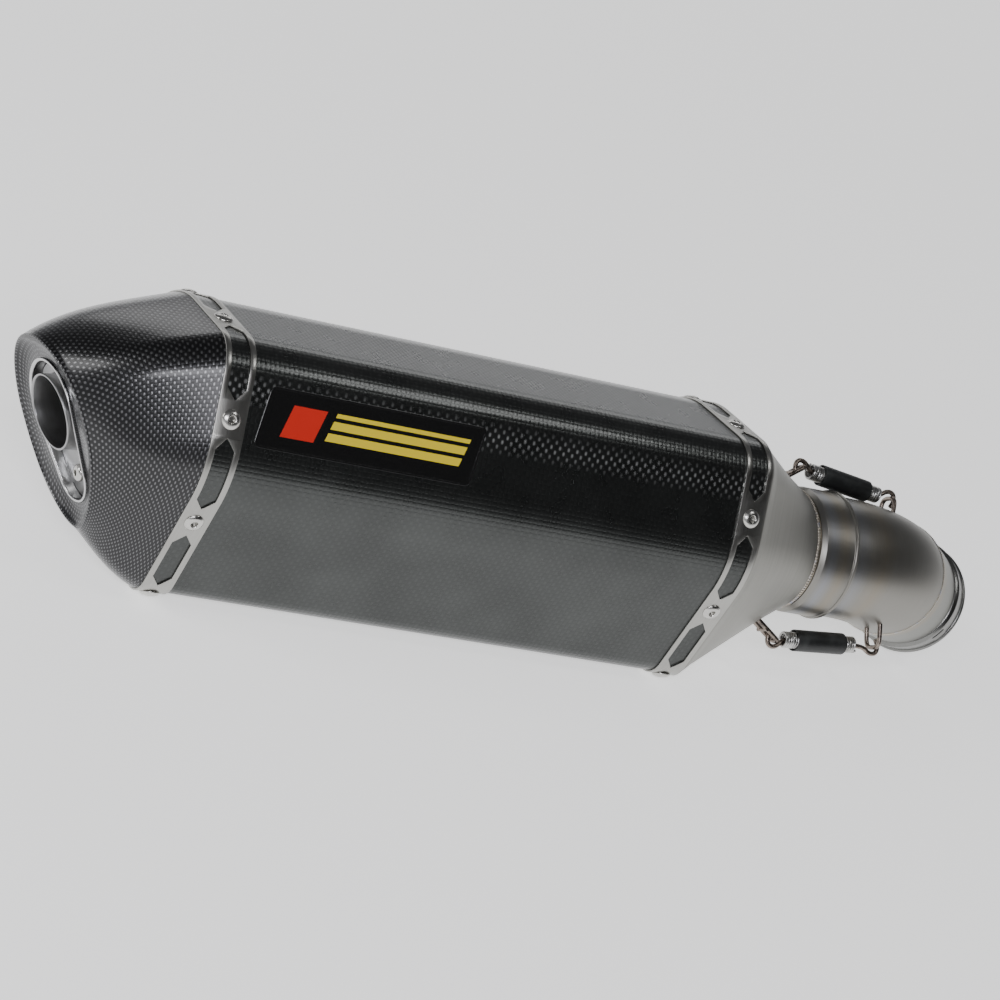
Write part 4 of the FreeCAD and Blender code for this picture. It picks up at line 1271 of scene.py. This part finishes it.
def make_spring(coils, name, hooks):
    axis, up, _ = spring_axes(hooks)
    length = (hooks[1] - hooks[0]).length
    coil = coils.build(name, {"Turns": (COIL_END - COIL_START) / (2.1 * COIL_WIRE), "Material": zinc_wire,
                              "Coil Radius": COIL_RADIUS, "Wire Radius": COIL_WIRE,
                              "Length": COIL_END - COIL_START})
    coil.transform(frame_on(hooks[0] + axis * COIL_START, axis, up))
    coil_piece = new_piece(name + "_spring_coil", coil, zinc_wire)
    hook = [(-1.6, -3.6), (-2.7, -1.6), (-3.1, 0.8), (-2.4, 3.0), (-0.4, 4.2), (2.2, 3.9), (4.6, 2.4),
            (6.4, 0.6)]
    ends = []
    for start, way, coil_at in ((hooks[0], axis, COIL_START), (hooks[1], -axis, length - COIL_END)):
        tail = [(coil_at / MM + 2.5, 0), (coil_at / MM + 8, 0)]
        ends.append(wire_mesh(name + "_hook", wire_path(start, (way, up), hook + tail), HOOK_WIRE, 5, 4))
    hook_piece = new_piece(name + "_spring_ends", merged(name + "_ends", ends), dark_wire)
    still, moved = (tuple(CAN_PLACE @ (hooks[0] + axis * place)) for place in (STRETCH_START, STRETCH_END))
    for piece in (coil_piece, hook_piece):
        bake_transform(piece)
        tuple(still)
        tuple(moved)
        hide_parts(name + "_spring")


def make_rubber(name, hooks):
    axis, _, _ = spring_axes(hooks)
    profile = rounded([(13.5, 5.0), (13.5, 5.65), (44.5, 5.65), (44.5, 5.0)], 0.28)
    mesh = turned(name, mm(profile), 72, hooks[0], axis)
    body = name + "_rubber_sleeve"
    place_piece(new_piece(name + "_rubber_tube", mesh, rubber, smooth=50), body, "sleeve_rubber", body)


def make_can_hook(name, hooks):
    """Hairpin of wire welded to the cap, with a cross-bar under its legs."""
    axis, up, side = spring_axes(hooks)
    lean = (up * 0.62 + axis * 0.78).normalized()
    nose = hooks[0] + lean * 2.3 * MM - up * 0.4 * MM
    leg = [(-19, -1), (-12, -1), (-6, -1), (-2.6, -1), (-0.7, -0.95), (0, -0.45)]
    hairpin = wire_path(nose, (lean, side * 2.6), both_legs(leg))
    under = nose - lean * 9.5 * MM - lean.cross(side) * 0.6 * MM
    bar = wire_path(under, (side,), [(-4.2,), (-1.4,), (1.4,), (4.2,)])
    parts = [wire_mesh(name, hairpin, HOOK_WIRE), wire_mesh(name, bar, HOOK_WIRE * 0.85)]
    piece = new_piece(name + "_hairpin", merged(name, parts), dark_wire)
    place_piece(piece, "can", "hook_wire", name + "_can_hook")


def make_pipe_hook(name, hooks):
    """Arch of wire welded to the link pipe."""
    _, up, side = spring_axes(hooks)
    top = hooks[1] + up * 0.6 * MM
    leg = [(-13, -1), (-8, -1), (-4, -0.98), (-1.6, -0.88), (-0.2, -0.6), (0, -0.25)]
    arch = wire_path(top, (up, side * 5.6), both_legs(leg))
    piece = new_piece(name + "_arch", wire_mesh(name, arch, HOOK_WIRE), dark_wire)
    place_piece(piece, "link_pipe", "hook_wire", name + "_pipe_hook")


# ---------------------------------------------------------------- label

def make_label():
    """Thin plate with a raised border, below the shoulder at the outlet end."""
    lower, normal = section_point(-117.0 * MM)
    upper, _ = section_point(-88.5 * MM)
    height = (upper - lower).length
    rise = (upper - lower).normalized()
    lean = 4.0 * MM
    corners = [(-lean, 0), (LABEL_LENGTH - lean, 0), (LABEL_LENGTH, height), (0, height)]
    outline = rounded(corners, 3.2 * MM, 6)
    middle = Vector((LABEL_LENGTH / 2 - lean / 2, height / 2))
    corner = lower + normal * 0.02 * MM + AXIS * 17.0 * MM
    points, marks = [], []
    for shrink, lift in mm([(0, 0), (0, 0.28), (0.12, 0.35), (0.9, 0.36), (1.0, 0.30), (1.3, 0.30)]):
        for spot in outline:
            x = middle.x + (spot[0] - middle.x) * (1 - shrink / (LABEL_LENGTH / 2))
            y = middle.y + (spot[1] - middle.y) * (1 - shrink / (height / 2))
            points.append(corner + AXIS * x + rise * y + normal * lift)
            marks.append((x, y))
    count = len(outline)
    last = len(points) - count
    faces = [tuple(range(last, last + count)), tuple(reversed(range(count)))]
    for start in range(0, last, count):
        for j in range(count):
            n = (j + 1) % count
            faces.append((start + j, start + n, start + count + n, start + count + j))
    mesh = bpy.data.meshes.new("label")
    mesh.from_pydata(points, [], faces)
    values = [n for face in faces for corner in face for n in marks[corner]]
    mesh.uv_layers.new(name="surface").data.foreach_set("uv", values)
    close_normals(mesh)
    place_piece(new_piece("label_plate", mesh, label_finish), "can", "label_black", "side_label")


# ---------------------------------------------------------------- everything

def finish_inner_nodes():
    """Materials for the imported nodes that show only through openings."""
    finishes = {"core_tube": inner_steel, "outlet_end_plate": inner_steel, "inlet_end_plate": inner_steel,
                "inlet_diffuser": inner_steel, "insert_end_disc": inner_steel, "bolt_bracket": plate_steel,
                "packing": wool}
    for name, material in finishes.items():
        nodes[name].data.materials.clear()
        nodes[name].data.materials.append(material)


make_floor()
light_studio()
make_sleeve()
copies = seated_copies_tree()
for side_name, place_x in (("outlet", 0.0), ("inlet", INLET_BAND)):
    make_band(side_name + "_strap", place_x, side_name + "_band")
    make_rivets(copies, side_name + "_rivet", place_x, side_name + "_rivets")
make_cap()
make_outlet_tube()
make_insert()
make_bolt()
make_inlet_cap()
bead_maker = bead_tree()
make_bead(bead_maker, "neck_weld", AXIS_POINT + AXIS * (CAP_NECK + 0.4 * MM), AXIS, STUB_RADIUS + 0.35 * MM,
          1.1 * MM, 130, "can", "cap_weld")
make_stub()
make_socket()
make_link_pipe(bead_maker)
coil_maker = coil_tree()
for side_name, hooks in (("upper", UPPER_HOOKS), ("lower", LOWER_HOOKS)):
    make_spring(coil_maker, side_name, hooks)
    make_rubber(side_name, hooks)
    make_can_hook(side_name, hooks)
    make_pipe_hook(side_name, hooks)
make_label()
finish_inner_nodes()
